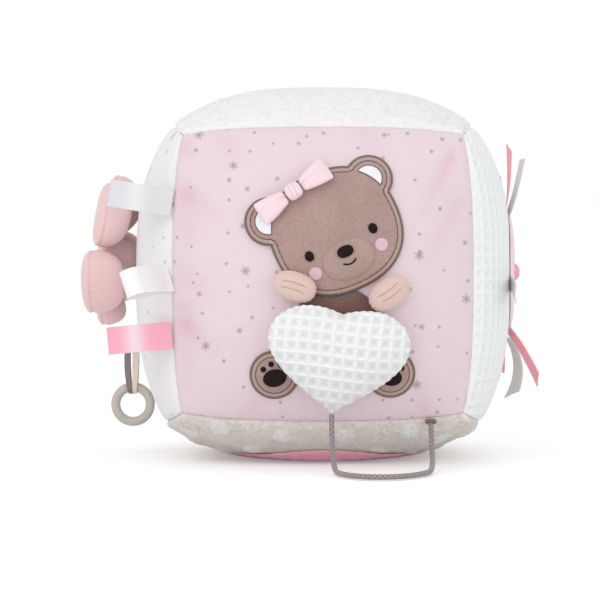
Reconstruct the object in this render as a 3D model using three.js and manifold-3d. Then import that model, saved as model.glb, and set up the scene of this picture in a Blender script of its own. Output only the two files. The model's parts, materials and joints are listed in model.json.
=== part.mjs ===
// Soft fabric activity block for a baby: a stuffed cube with six different cover fabrics.
// The front carries a teddy bear in padded applique that holds a stuffed heart on a tether cord.
// Three ribbon loops, a stuffed flower, a teething ring on a ribbon and a rosette of ribbon tails
// sit on the other faces. Millimetres, +Z up, the bear looks along -Y, the block stands on z = 0.

import * as THREE from 'three';
import { mergeVertices } from 'three/addons/utils/BufferGeometryUtils.js';
import Module from 'manifold-3d';

const wasm = await Module();
wasm.setup();

const [X, Y, Z] = [0, 1, 2];
const deg = Math.PI / 180;

// The stuffed block, measured from its middle
const crown = [88.5, 90, 88]; // middle of a face, along X, Y and Z
const corner = [64, 64, 63.5]; // the eight corners
const seamBow = [ // how far a seam bows out halfway: the row is the side it bows to, the column its run
  [0, 6.5, 4],
  [5.5, 0, 5.5],
  [3, 6.5, 0],
];
const bottomSpread = 4; // how much further the two side seams of the bottom bow out
const fullness = 3; // power of the curve between two seams
const settle = 1.5; // its own weight flattens the bottom by this much
const standHeight = crown[Z] - settle; // the middle of the block above the floor
const coverThickness = 1.6; // plush with its pile
const fit = 0.3; // clearance between sewn neighbours
const coverGrid = 10; // facets along each side of a face

// The round padded patch that the block stands on: flat in the middle, thinner at its rim
const basePatchRadius = 52;
const basePatchFlatShare = 0.5; // of the radius
const basePatchThickness = 4;
const basePatchEdge = 1.2;

// The bear's head
const headPlace = [5.6, 18.7];
const headHalfWidth = 28.8;
const headHalfHeight = 27.2;
const headTurn = 24 * deg;
const headEdge = 1.5; // height of the padded rim
const headSwell = 2.5; // and of the middle above it
const earRadius = 10.6;
const ears = [ // from the middle of the head to the middle of an ear, turned from its crown
  { name: 'inner_ear_left', reach: 29.5, turn: 58 * deg },
  { name: 'inner_ear_right', reach: 27, turn: -56 * deg },
];
const innerEarRadius = 5.6;
const patchThickness = 0.6; // flat applique on top of another
const muzzleHalfWidth = 11.5;
const muzzleHalfHeight = 8.4;
const muzzleDrop = 13.5;
const muzzleSwell = 1.6;
const noseHalfWidth = 3.6;
const noseHalfHeight = 2.5;
const noseDrop = 9.8;
const noseThickness = 0.9;
const eyeRadius = 2.3;
const eyeSpacing = 30;
const eyeDrop = 5.5;
const eyeThickness = 0.9;

// The bear's body, feet and paws
const bodyPlace = [6, -25.5];
const bodyHalfWidth = 19.5;
const bodyHalfHeight = 20;
const bodyEdge = 1.3;
const bodySwell = 1.5;
const footPlaces = [[-21.3, -44.1], [29.6, -43.6]];
const footRadius = 10.8;
const footEdge = 1.2;
const footSwell = 1.6;
const soleHalfWidth = 5.6;
const soleHalfHeight = 4.6;
const pawPlaceShares = [[-0.297, 0.692], [0.356, 0.617]]; // of the heart's width and height, from its middle
const pawTurns = [162 * deg, 35 * deg]; // which way the tip of a paw points
const pawHalfLength = 9.9;
const pawHalfWidth = 6.6;
const pawThickness = 10;
const pawSeamShare = 0.4; // how far up its thickness the seam of a paw lies
const pawLifts = [2.5, 2.5]; // from the front panel to the back of a paw

// The bow
const bowPlace = [-12.7, 35.8];
const bowTurn = 36 * deg;
const bowLoopLength = 14.6;
const bowInnerHalf = 3;
const bowOuterHalf = 5.7;
const bowLoopThickness = 4.4;
const knotHalfLength = 3.7;
const knotHalfWidth = 3.9;
const knotThickness = 5.4;

// The stuffed heart and its tether cord
const heartPlace = [6.2, -37.6];
const heartWidth = 62;
const heartHeight = 46.5;
const heartWaves = [13, -2.7, -0.9, -0.45]; // its height as a sum of cosines
const heartTurn = -6 * deg;
const heartThickness = 18.5;
const heartSeamShare = 0.36;
const cordRadius = 1.2;
const cordRoute = [ // the middle of the cord, from the tip of the heart to the seam
  [3.8, -84.5, 25.3], [3.8, -84.5, 21.5], [3.9, -84.7, 15.5], [4.2, -85.6, 9], [4.8, -88.4, 4],
  [5.6, -93.8, 1.6], [7.4, -101.6, 1.35], [11.6, -109.4, 1.35], [18.8, -114.8, 1.35], [27, -115.4, 1.35],
  [35, -111.6, 1.35], [41.2, -104.6, 1.35], [45.2, -96.6, 1.35], [47.1, -88.8, 1.9], [47.9, -82.2, 4.6],
  [48, -77.3, 8.9], [48, -73.7, 13.4], [48, -71, 17.1], [48, -68.8, 19.65],
];
const cordSides = 8;
const cordSteps = 36;
const tackPlace = 48; // along the lower front seam
const tackHalfLength = 2.6;
const tackHalfWidth = 1.5;
const tackThickness = 1.2;

// The ribbon loops in the left front seam
const satin = 0.6; // thickness of a ribbon
const tagWidth = 12;
const tagStandOff = 0.9; // from the seam to the root of a loop
const tags = [
  { name: 'tag_grey', height: 31.8, length: 27.5, gap: 5.2, yaw: 0, pitch: -9 * deg, roll: 0 },
  { name: 'tag_white', height: -2.2, length: 26, gap: 8.4, yaw: 48 * deg, pitch: 5 * deg, roll: 20 * deg },
  { name: 'tag_pink', height: -27.2, length: 27.5, gap: 5.2, yaw: 0, pitch: 5.5 * deg, roll: 0 },
];
const tagRootShare = 0.14; // the part of a loop where its two layers are sewn together

// The flower on the left face
const flowerPlace = [0, 9];
const petalCount = 5;
const petalFirst = -26 * deg; // turned up from the way the bear looks
const petalLength = 31.5;
const petalHalfWidth = 19.4;
const petalThicknesses = [23, 15, 14.5, 14.5, 14.5];
const petalStart = 8.3;
const petalLift = 13.5;
const petalCups = [0, -18 * deg, -20 * deg, -20 * deg, -4 * deg]; // away from the face
const flowerCentreRadius = 8;
const flowerCentreThickness = 20;

// The teething ring and the ribbon it hangs on
const ringRadius = 8.3; // middle of the tube
const ringTube = 2.3;
const ringPlace = [-91.3, 0, -54.3]; // middle of the tube where the ribbon holds it
const ringPlay = 1.35; // ribbon to tube
const ringRibbonWidth = 6.2;
const ringRibbonTop = 26.8; // from that place up to the root of the ribbon

// The rosette on the right face
const rosettePlace = [0, 1];
const rosetteRadius = 31;
const rosetteEdge = 1.2;
const rosetteSwell = 1.0;
const buttonRadius = 4.2;
const buttonThickness = 3;
const tailLength = 30;
const tailWidth = 7;
const tailRootGap = 0.7;
const tailSlant = 4; // the cut end is this much shorter on one side
const tails = [ // turned from straight up to the bear's side, leaning off the face, bending back to the end
  { turn: 8 * deg, lean: 12 * deg, curl: -6 * deg, look: 'satinRose' },
  { turn: 28 * deg, lean: 20 * deg, curl: -6 * deg, look: 'greySatin' },
  { turn: 100 * deg, lean: 13 * deg, curl: -8 * deg, look: 'greySatin' },
  { turn: 152 * deg, lean: 34 * deg, curl: -8 * deg, look: 'satinRose' },
  { turn: 175 * deg, lean: 36 * deg, curl: -62 * deg, look: 'greySatin' },
  { turn: 213 * deg, lean: 12 * deg, curl: -6 * deg, look: 'satinRose' },
  { turn: 265 * deg, lean: 12 * deg, curl: -6 * deg, look: 'greySatin' },
  { turn: 318 * deg, lean: 12 * deg, curl: -6 * deg, look: 'satinRose' },
];

const finish = {
  pinkPlush: [0xecd9e1, 0.95], whitePlush: [0xe9e9ec, 0.95], sherpa: [0xf1f1ee, 0.98],
  waffle: [0xedf1f3, 0.95], minky: [0xcfc6c1, 0.95], filling: [0xf4f2ee, 1],
  coral: [0xee7f8f, 0.6], fur: [0xb9a098, 0.95], paleFur: [0xdcc8bd, 0.95], thread: [0x3d2b28, 0.7],
  peach: [0xe2c6b8, 0.95], satinPink: [0xf5d7de, 0.4], satinGrey: [0xdededf, 0.4],
  satinWhite: [0xf6f6f8, 0.4], satinRose: [0xf7a9bb, 0.4], cord: [0x96908e, 0.8],
  velour: [0xd7afaf, 0.95], taupe: [0x837a76, 0.5], rubber: [0xc9c3bc, 0.6], greySatin: [0xbdb6b2, 0.4],
};

// Geometry helpers

const place3 = (axis, sign, a, b, height) => {
  const point = [0, 0, 0];
  const [p, q] = [X, Y, Z].filter((one) => one !== axis);
  point[axis] = sign * height;
  point[p] = a;
  point[q] = b;
  return new THREE.Vector3(...point);
};

const curve = (share) => 1 - Math.abs(share) ** fullness;

// How far a seam bows to a side; rise is -1 at the bottom of the block and 1 at its top
function bow(side, run, rise) {
  return seamBow[side][run] + (side === X && run === Y ? bottomSpread * (1 - rise) / 2 : 0);
}

// Height of a face of the block over its middle plane, where s and t run from -1 to 1 between its seams
function faceHeight(axis, sign, s, t, inset) {
  const [p, q] = [X, Y, Z].filter((one) => one !== axis);
  const [bowP, bowQ] = [bow(axis, p, t), bow(axis, q, t)];
  const dome = crown[axis] - corner[axis] - bowP - bowQ;
  const height = corner[axis] + bowQ * curve(t) + bowP * curve(s) + dome * curve(s) * curve(t);
  const rests = axis === Z && sign < 0;
  const floor = standHeight - basePatchThickness - fit;
  return (rests ? Math.min(height, floor) : height) - inset;
}

// A point of a face from its two shares between the seams
function facePoint(axis, sign, s, t, inset) {
  const [p, q] = [X, Y, Z].filter((one) => one !== axis);
  const a = s * (corner[p] - inset + bow(p, q, sign) * curve(t));
  const b = t * (corner[q] - inset + bow(q, p, sign) * curve(s));
  return place3(axis, sign, a, b, faceHeight(axis, sign, s, t, inset));
}

// A point over a face, at a and b across its plane and lifted off it
function overFace(axis, sign, a, b, lift) {
  const [p, q] = [X, Y, Z].filter((one) => one !== axis);
  let s = a / corner[p];
  let t = b / corner[q];
  for (let step = 0; step < 12; step++) {
    s = a / (corner[p] + bow(p, q, sign) * curve(t));
    t = b / (corner[q] + bow(q, p, sign) * curve(s));
  }
  return place3(axis, sign, a, b, faceHeight(axis, sign, s, t, 0) + lift);
}

// A closed geometry from points and triangles, turned so that its faces point out
function closed(points, faces) {
  const geometry = new THREE.BufferGeometry();
  geometry.setAttribute('position', new THREE.Float32BufferAttribute(points.flatMap((v) => [v.x, v.y, v.z]), 3));
  const volume = faces.reduce((sum, [i, j, k]) => {
    const cross = new THREE.Vector3().crossVectors(points[j], points[k]);
    return sum + points[i].dot(cross);
  }, 0);
  geometry.setIndex((volume < 0 ? faces.map(([i, j, k]) => [i, k, j]) : faces).flat());
  geometry.computeVertexNormals();
  return geometry;
}

// A sheet with a thickness: two grids of points, over s and t from 0 to 1, closed round their edges
function sheet(stepsS, stepsT, top, bottom) {
  const points = [];
  const faces = [];
  const at = (layer, i, j) => layer * (stepsS + 1) * (stepsT + 1) + i * (stepsT + 1) + j;
  for (const side of [top, bottom]) {
    for (let i = 0; i <= stepsS; i++) {
      for (let j = 0; j <= stepsT; j++) points.push(side(i / stepsS, j / stepsT));
    }
  }
  const quad = (a, b, c, d) => faces.push([a, b, c], [a, c, d]);
  for (let i = 0; i < stepsS; i++) {
    for (let j = 0; j < stepsT; j++) {
      quad(at(0, i, j), at(0, i + 1, j), at(0, i + 1, j + 1), at(0, i, j + 1));
      quad(at(1, i, j), at(1, i, j + 1), at(1, i + 1, j + 1), at(1, i + 1, j));
    }
    quad(at(0, i, 0), at(1, i, 0), at(1, i + 1, 0), at(0, i + 1, 0));
    quad(at(0, i + 1, stepsT), at(1, i + 1, stepsT), at(1, i, stepsT), at(0, i, stepsT));
  }
  for (let j = 0; j < stepsT; j++) {
    quad(at(0, 0, j + 1), at(1, 0, j + 1), at(1, 0, j), at(0, 0, j));
    quad(at(0, stepsS, j), at(1, stepsS, j), at(1, stepsS, j + 1), at(0, stepsS, j + 1));
  }
  return closed(points, faces);
}

// A padded shape: rings of its outline from the middle to the rim, with a height over and under each
// share of the way out. Where the two heights meet at the rim it is a pillow, otherwise it has a wall.
function padded(outline, rings, over, under, place) {
  const count = outline.length;
  const points = [place(0, 0, over(0)), place(0, 0, under(0))];
  const faces = [];
  const pillow = over(1) === under(1);
  const share = (ring) => Math.sin((ring / rings) * (Math.PI / 2));
  const rows = [[], []];
  for (let ring = 1; ring <= rings; ring++) {
    const s = ring === rings ? 1 : share(ring);
    [over, under].forEach((height, layer) => {
      if (layer === 1 && pillow && ring === rings) {
        rows[1].push(rows[0][ring - 1]);
        return;
      }
      rows[layer].push(points.length);
      outline.forEach(([a, b]) => points.push(place(a * s, b * s, height(s))));
    });
  }
  for (let i = 0; i < count; i++) {
    const j = (i + 1) % count;
    faces.push([0, rows[0][0] + i, rows[0][0] + j], [1, rows[1][0] + j, rows[1][0] + i]);
    for (let ring = 1; ring < rings; ring++) {
      const [a, b] = [rows[0][ring - 1], rows[0][ring]];
      const [c, d] = [rows[1][ring - 1], rows[1][ring]];
      faces.push([a + i, b + i, b + j], [a + i, b + j, a + j]);
      faces.push([c + i, d + j, d + i], [c + i, c + j, d + j]);
    }
    if (!pillow) {
      const [top, foot] = [rows[0][rings - 1], rows[1][rings - 1]];
      faces.push([top + i, foot + i, foot + j], [top + i, foot + j, top + j]);
    }
  }
  return closed(points, faces);
}

function ellipse(halfWidth, halfHeight, count, power = 2) {
  const radius = (angle) => (Math.abs(Math.cos(angle) / halfWidth) ** power
    + Math.abs(Math.sin(angle) / halfHeight) ** power) ** (-1 / power);
  return Array.from({ length: count }, (_, i) => {
    const angle = (i / count) * 2 * Math.PI;
    return [Math.cos(angle) * radius(angle), Math.sin(angle) * radius(angle)];
  });
}

const turned = (outline, angle) => outline.map(([a, b]) => [
  a * Math.cos(angle) - b * Math.sin(angle), a * Math.sin(angle) + b * Math.cos(angle)]);

// How far out a point lies in an outline round its middle: 0 there, 1 on the rim
function shareIn(outline, a, b) {
  for (let i = 0; i < outline.length; i++) {
    const [p, q] = [outline[i], outline[(i + 1) % outline.length]];
    const cross = p[0] * q[1] - p[1] * q[0];
    const toP = (a * q[1] - b * q[0]) / cross;
    const toQ = (p[0] * b - p[1] * a) / cross;
    if (toP >= 0 && toQ >= 0) return toP + toQ;
  }
  return 0;
}

const toManifold = (geometry) => {
  const bare = geometry.clone();
  bare.deleteAttribute('normal');
  bare.deleteAttribute('uv');
  const merged = mergeVertices(bare);
  return new wasm.Manifold(new wasm.Mesh({
    numProp: 3,
    vertProperties: new Float32Array(merged.attributes.position.array),
    triVerts: new Uint32Array(merged.index.array),
  }));
};

const fromManifold = (solid) => {
  const mesh = solid.getMesh();
  const geometry = new THREE.BufferGeometry();
  geometry.setAttribute('position', new THREE.Float32BufferAttribute(mesh.vertProperties, 3));
  geometry.setIndex(Array.from(mesh.triVerts));
  geometry.computeVertexNormals();
  return geometry;
};

function named(name, geometry, look) {
  const [color, roughness] = finish[look];
  const mesh = new THREE.Mesh(geometry, new THREE.MeshStandardMaterial({ color, roughness, metalness: 0 }));
  mesh.name = name;
  return mesh;
}

const toy = new THREE.Group();
const block = new THREE.Group();
block.position.z = standHeight;
toy.add(block);

// The cover panels and the filling

const panels = [
  ['front_panel', Y, -1, 'pinkPlush'], ['back_panel', Y, 1, 'pinkPlush'], ['left_panel', X, -1, 'whitePlush'],
  ['right_panel', X, 1, 'waffle'], ['top_panel', Z, 1, 'sherpa'], ['bottom_panel', Z, -1, 'minky'],
];

const across = (share, axis) => (2 * share - 1) * (1 - fit / (2 * corner[axis]) * Math.SQRT2);

function coverPanel(axis, sign) {
  const [p, q] = [X, Y, Z].filter((one) => one !== axis);
  const side = (inset) => (s, t) => facePoint(axis, sign, across(s, p), across(t, q), inset);
  return sheet(coverGrid, coverGrid, side(0), side(coverThickness));
}

function filling() {
  const points = [];
  const faces = [];
  for (const [, axis, sign] of panels) {
    const start = points.length;
    for (let i = 0; i <= coverGrid; i++) {
      for (let j = 0; j <= coverGrid; j++) {
        const [s, t] = [2 * i / coverGrid - 1, 2 * j / coverGrid - 1];
        points.push(facePoint(axis, sign, s, t, coverThickness + fit));
      }
    }
    const outward = (sign > 0) === (axis !== Y);
    for (let i = 0; i < coverGrid; i++) {
      for (let j = 0; j < coverGrid; j++) {
        const at = (di, dj) => start + (i + di) * (coverGrid + 1) + j + dj;
        const quad = [[at(0, 0), at(1, 0), at(1, 1)], [at(0, 0), at(1, 1), at(0, 1)]];
        faces.push(...(outward ? quad : quad.map(([a, b, c]) => [a, c, b])));
      }
    }
  }
  const geometry = closed(points, faces);
  geometry.deleteAttribute('normal');
  const merged = mergeVertices(geometry);
  merged.computeVertexNormals();
  return merged;
}

for (const [name, axis, sign, look] of panels) block.add(named(name, coverPanel(axis, sign), look));
block.add(named('core_stuffing', filling(), 'filling'));

// Pieces sewn flat on a face

const front = { axis: Y, sign: -1 };
const right = { axis: X, sign: 1 };
const below = { axis: Z, sign: -1 };

const onFace = (face, middle) => (a, b, lift) => overFace(face.axis, face.sign, middle[0] + a, middle[1] + b, lift);

// A padded applique with a rim of one height and a middle that swells above it
function applique(face, middle, outline, edge, swell, rings) {
  const over = (s) => fit + edge + swell * (1 - s ** 4);
  return padded(outline, rings, over, () => fit, onFace(face, middle));
}

function basePatch() {
  const outline = ellipse(basePatchRadius, basePatchRadius, 40);
  const out = (s) => Math.max(0, (s - basePatchFlatShare) / (1 - basePatchFlatShare));
  const over = (s) => fit + basePatchEdge + (basePatchThickness - basePatchEdge) * (1 - out(s) ** 3);
  return padded(outline, 8, over, () => 2 * fit, onFace(below, [0, 0]));
}

block.add(named('base_patch', basePatch(), 'coral'));

const earMiddle = ({ reach, turn }) => [-reach * Math.sin(turn), reach * Math.cos(turn)];

// The outline of the head: a rounded oval joined with two round ears
function headOutline() {
  const oval = ellipse(headHalfWidth, headHalfHeight, 44, 2.35);
  const outside = oval.filter((point) => ears.every((ear) => {
    const middle = earMiddle(ear);
    return Math.hypot(point[0] - middle[0], point[1] - middle[1]) > earRadius;
  }));
  for (const ear of ears) {
    for (let turn = -110; turn <= 110; turn += 20) {
      const middle = earMiddle(ear);
      const at = Math.PI / 2 + ear.turn + turn * deg;
      const point = [middle[0] + earRadius * Math.cos(at), middle[1] + earRadius * Math.sin(at)];
      if (shareIn(oval, ...point) > 1) outside.push(point);
    }
  }
  const order = ([a, b]) => Math.atan2(b, a);
  return turned(outside.sort((one, other) => order(one) - order(other)), headTurn);
}

const head = headOutline();
const headTop = (a, b) => {
  const s = Math.min(shareIn(head, a - headPlace[0], b - headPlace[1]), 1);
  return fit + headEdge + headSwell * (1 - s ** 4);
};
const onHead = (x, y) => {
  const [[a, b]] = turned([[x, y]], headTurn);
  return [headPlace[0] + a, headPlace[1] + b];
};

// A patch that lies on the head and follows its swell
function headPatch(middle, outline, over, rings) {
  const [a0, b0] = onHead(...middle);
  const place = (a, b, height) => overFace(Y, -1, a0 + a, b0 + b, headTop(a0 + a, b0 + b) + fit + height);
  return padded(turned(outline, headTurn), rings, over, () => 0, place);
}

block.add(named('bear_head', applique(front, headPlace, head, headEdge, headSwell, 5), 'fur'));
for (const ear of ears) {
  const outline = ellipse(innerEarRadius, innerEarRadius, 16);
  block.add(named(ear.name, headPatch(earMiddle(ear), outline, () => patchThickness, 2), 'whitePlush'));
}

const muzzleOver = (s) => patchThickness + muzzleSwell * (1 - s ** 2);
const muzzle = ellipse(muzzleHalfWidth, muzzleHalfHeight, 24, 2.2);
block.add(named('muzzle', headPatch([0, -muzzleDrop], muzzle, muzzleOver, 4), 'paleFur'));

function nose() {
  const rise = muzzleDrop - noseDrop;
  const onMuzzle = (a, b) => muzzleOver(Math.min(shareIn(muzzle, a, b + rise), 1));
  const [a0, b0] = onHead(0, -noseDrop);
  const place = (a, b, height) => {
    const [[x, y]] = turned([[a, b]], -headTurn);
    return overFace(Y, -1, a0 + a, b0 + b, headTop(a0 + a, b0 + b) + 2 * fit + onMuzzle(x, y) + height);
  };
  const outline = turned(ellipse(noseHalfWidth, noseHalfHeight, 16, 2.4), headTurn);
  return padded(outline, 3, (s) => noseThickness * Math.sqrt(1 - s * s * 0.8), () => 0, place);
}

block.add(named('nose', nose(), 'thread'));
for (const [name, side] of [['eye_left', -1], ['eye_right', 1]]) {
  const over = (s) => eyeThickness * Math.sqrt(1 - s * s * 0.8);
  const outline = ellipse(eyeRadius, eyeRadius, 12);
  block.add(named(name, headPatch([side * eyeSpacing / 2, -eyeDrop], outline, over, 2), 'thread'));
}

// The body ends where the head and the feet begin
function bearBody() {
  const outline = ellipse(bodyHalfWidth, bodyHalfHeight, 32, 2.2);
  let body = toManifold(applique(front, bodyPlace, outline, bodyEdge, bodySwell, 4));
  const foot = ellipse(footRadius, footRadius, 24);
  const others = [[head, headPlace, Math.min(headHalfWidth, headHalfHeight)]];
  footPlaces.forEach((middle) => others.push([foot, middle, footRadius]));
  for (const [shape, middle, reach] of others) {
    const grown = 1 + fit / reach * Math.SQRT2;
    const cutter = padded(shape.map(([a, b]) => [a * grown, b * grown]), 5, () => crown[Y] / 2,
      () => -coverThickness, onFace(front, middle));
    body = body.subtract(toManifold(cutter));
  }
  return fromManifold(body);
}

block.add(named('bear_body', bearBody(), 'fur'));
['left', 'right'].forEach((side, i) => {
  const foot = ellipse(footRadius, footRadius, 24);
  block.add(named(`foot_${side}`, applique(front, footPlaces[i], foot, footEdge, footSwell, 4), 'fur'));
  const sole = ellipse(soleHalfWidth, soleHalfHeight, 16);
  const top = (a, b) => fit + footEdge + footSwell * (1 - Math.min(Math.hypot(a, b) / footRadius, 1) ** 4);
  const place = (a, b, height) => onFace(front, footPlaces[i])(a, b, top(a, b) + fit + height);
  block.add(named(`sole_${side}`, padded(sole, 2, () => patchThickness, () => 0, place), 'thread'));
});

// The paws, bow and heart are pillows that lie on what is sewn to the front

const headHighest = fit + headEdge + headSwell;

function pillowOver(middle, outline, rings, back, thickness, seamShare, blunt) {
  const seam = back + seamShare * thickness;
  const bulge = (s) => Math.max(0, 1 - s ** blunt) ** 0.55;
  const over = (s) => seam + (1 - seamShare) * thickness * bulge(s);
  const under = (s) => seam - seamShare * thickness * bulge(s);
  return padded(outline, rings, over, under, onFace(front, middle));
}

['left', 'right'].forEach((side, i) => {
  const oval = ellipse(pawHalfLength, pawHalfWidth, 20, 2.3);
  const outline = turned(oval, pawTurns[i]);
  const [across, up] = pawPlaceShares[i];
  const middle = [heartPlace[0] + across * heartWidth, heartPlace[1] + up * heartHeight];
  const paw = pillowOver(middle, outline, 5, pawLifts[i], pawThickness, pawSeamShare, 2.4);
  block.add(named(`paw_${side}`, paw, 'peach'));
});

// A loop of the bow widens from the knot to its outer end, with rounded corners
function bowLoop(side) {
  const half = (share) => bowInnerHalf + (bowOuterHalf - bowInnerHalf) * Math.sin(share * Math.PI / 2);
  const ends = [];
  for (const share of [0, 0.35, 0.7, 0.92]) ends.push([share, half(share)]);
  const lower = [...ends, [1, bowOuterHalf * 0.72]];
  const upper = lower.slice().reverse().map(([share, width]) => [share, -width]);
  const outline = [...lower, [0.97, 0], ...upper, [0, 0]].map(([share, width]) => [
    side * (share - 0.5) * bowLoopLength, width]);
  const start = knotHalfLength + fit;
  const middle = side * (start + bowLoopLength / 2);
  const [[a, b]] = turned([[middle, 0]], bowTurn);
  return { outline: turned(outline, bowTurn), middle: [bowPlace[0] + a, bowPlace[1] + b] };
}

for (const [name, side] of [['bow_loop_left', -1], ['bow_loop_right', 1]]) {
  const { outline, middle } = bowLoop(side);
  const back = headHighest + fit;
  const ordered = side > 0 ? outline.slice().reverse() : outline;
  block.add(named(name, pillowOver(middle, ordered, 4, back, bowLoopThickness, 0.3, 2.2), 'satinPink'));
}
const knot = turned(ellipse(knotHalfLength, knotHalfWidth, 18, 3.2), bowTurn);
block.add(named('bow_knot', pillowOver(bowPlace, knot, 4, headHighest + fit, knotThickness, 0.35, 2.6), 'satinPink'));

function heartOutline(count) {
  const unit = Array.from({ length: count }, (_, i) => {
    const t = (i / count) * 2 * Math.PI;
    const up = heartWaves.reduce((sum, wave, k) => sum + wave * Math.cos((k + 1) * t), 0);
    return [Math.sin(t) * Math.abs(Math.sin(t)), up];
  });
  const heights = unit.map(([, up]) => up);
  const [low, high] = [Math.min(...heights), Math.max(...heights)];
  return turned(unit.map(([a, up]) => [
    a * heartWidth / 2, ((up - (low + high) / 2) / (high - low)) * heartHeight]), heartTurn);
}

const heartBack = 2 * fit + Math.max(bodyEdge + bodySwell, footEdge + footSwell);
const heart = pillowOver(heartPlace, heartOutline(44), 7, heartBack, heartThickness, heartSeamShare, 2.5);
block.add(named('heart', heart, 'waffle'));

function tetherCord() {
  const path = new THREE.CatmullRomCurve3(cordRoute.map((point) => new THREE.Vector3(...point)), false, 'centripetal');
  const section = new THREE.Shape(Array.from({ length: cordSides }, (_, i) => {
    const angle = (i / cordSides) * 2 * Math.PI;
    return new THREE.Vector2(cordRadius * Math.cos(angle), cordRadius * Math.sin(angle));
  }));
  return new THREE.ExtrudeGeometry(section, { steps: cordSteps, extrudePath: path });
}

toy.add(named('pull_cord', tetherCord(), 'cord'));

// The stitched bar that holds the end of the cord in the lower front seam
function cordTack() {
  const s = tackPlace / corner[X];
  const seam = facePoint(Y, -1, s, -1, 0);
  const outline = ellipse(tackHalfLength, tackHalfWidth, 12, 3);
  const out = new THREE.Vector3(0, -1, -1).normalize();
  const up = new THREE.Vector3(0, -1, 1).normalize();
  const place = (a, b, height) => seam.clone().add(new THREE.Vector3(a, 0, 0))
    .addScaledVector(up, b).addScaledVector(out, height + 2 * fit);
  return padded(outline, 2, () => tackThickness, () => 0, place);
}

block.add(named('cord_tack', cordTack(), 'thread'));

// A loop of ribbon seen on its edge: two layers sewn together at the root, round at the far end
function ribbonLoop(length, gap, width, rootShare) {
  const inner = gap / 2;
  const outer = inner + satin;
  const end = length - outer;
  const root = rootShare * length;
  const shape = new THREE.Shape();
  shape.moveTo(0, satin);
  shape.bezierCurveTo(root * 1.4, satin, end * 0.45, outer, end, outer);
  shape.absarc(end, 0, outer, Math.PI / 2, -Math.PI / 2, true);
  shape.bezierCurveTo(end * 0.45, -outer, root * 1.4, -satin, 0, -satin);
  shape.closePath();
  const hole = new THREE.Path();
  hole.moveTo(root, 0);
  hole.bezierCurveTo(root * 1.7, -satin * 0.4, end * 0.5, -inner, end, -inner);
  hole.absarc(end, 0, inner, -Math.PI / 2, Math.PI / 2, false);
  hole.bezierCurveTo(end * 0.5, inner, root * 1.7, satin * 0.4, root, 0);
  shape.holes.push(hole);
  const geometry = new THREE.ExtrudeGeometry(shape, { depth: width, bevelEnabled: false, curveSegments: 6 });
  geometry.translate(0, 0, -width / 2);
  return geometry;
}

// Turns a group so that its X, Y and Z run along the given directions
function aim(group, x, y, z) {
  group.quaternion.setFromRotationMatrix(new THREE.Matrix4().makeBasis(x, y, z));
  return group;
}

for (const tag of tags) {
  const seam = facePoint(X, -1, -1, tag.height / corner[Z], 0);
  const group = new THREE.Group();
  group.position.copy(seam).add(new THREE.Vector3(-1, -1, 0).setLength(tagStandOff));
  const out = new THREE.Vector3(-Math.cos(tag.yaw), -Math.sin(tag.yaw), 0);
  const side = new THREE.Vector3(Math.sin(tag.yaw), -Math.cos(tag.yaw), 0);
  aim(group, out, side, new THREE.Vector3(0, 0, 1));
  const loop = named(tag.name, ribbonLoop(tag.length, tag.gap, tagWidth, tagRootShare),
    { tag_grey: 'satinGrey', tag_white: 'satinWhite', tag_pink: 'satinRose' }[tag.name]);
  loop.rotation.set(tag.roll, tag.pitch, 0);
  group.add(loop);
  block.add(group);
}

// The flower: its own X runs the way the bear looks, its Y runs up, its Z away from the left face

const flower = new THREE.Group();
flower.position.copy(overFace(X, -1, ...flowerPlace, 0));
aim(flower, new THREE.Vector3(0, -1, 0), new THREE.Vector3(0, 0, 1), new THREE.Vector3(-1, 0, 0));
block.add(flower);

function petal(thickness) {
  const outline = Array.from({ length: 20 }, (_, i) => {
    const angle = (i / 20) * 2 * Math.PI;
    const widest = 0.72 + 0.28 * Math.cos(angle);
    return [petalLength / 2 * Math.cos(angle), petalHalfWidth * Math.sin(angle) * widest];
  });
  const bulge = (s) => Math.max(0, 1 - s ** 2.2) ** 0.5;
  const swell = (a) => 0.62 + 0.38 * (a / petalLength + 0.5);
  const place = (a, b, height) => new THREE.Vector3(a + petalLength / 2, b, height * swell(a));
  const over = (s) => thickness / 2 * bulge(s);
  return padded(outline, 5, over, (s) => -over(s), place);
}

for (let i = 0; i < petalCount; i++) {
  const turn = new THREE.Group();
  turn.rotation.z = petalFirst + i * 2 * Math.PI / petalCount;
  const mesh = named(`petal_${i + 1}`, petal(petalThicknesses[i]), 'velour');
  mesh.position.set(petalStart, 0, petalLift);
  mesh.rotation.y = -petalCups[i];
  turn.add(mesh);
  flower.add(turn);
}

function flowerCentre() {
  const outline = ellipse(flowerCentreRadius, flowerCentreRadius, 20);
  const bulge = (s) => Math.max(0, 1 - s ** 2.4) ** 0.5;
  const over = (s) => petalLift + (flowerCentreThickness + fit - petalLift) * bulge(s);
  const under = (s) => petalLift - (petalLift - fit) * bulge(s);
  return padded(outline, 5, over, under, (a, b, height) => new THREE.Vector3(a, b, height));
}

flower.add(named('flower_centre', flowerCentre(), 'peach'));

// The ring faces the way the bear looks and hangs from a ribbon that goes through it

const hanger = new THREE.Group();
hanger.position.set(...ringPlace);
block.add(hanger);
const ribbonGap = 2 * (ringTube + ringPlay);
const ribbonLength = ringRibbonTop + ribbonGap / 2 + satin;
const ringRibbon = named('ring_ribbon', ribbonLoop(ribbonLength, ribbonGap, ringRibbonWidth, 0.2), 'taupe');
ringRibbon.geometry.translate(-ringRibbonTop, 0, 0);
aim(ringRibbon, new THREE.Vector3(0, 0, -1), new THREE.Vector3(0, 1, 0), new THREE.Vector3(1, 0, 0));
hanger.add(ringRibbon);
const ring = named('teething_ring', new THREE.TorusGeometry(ringRadius, ringTube, 10, 28), 'rubber');
ring.rotation.x = Math.PI / 2;
ring.position.z = -ringRadius;
hanger.add(ring);

// The rosette and its ribbon tails

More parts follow.
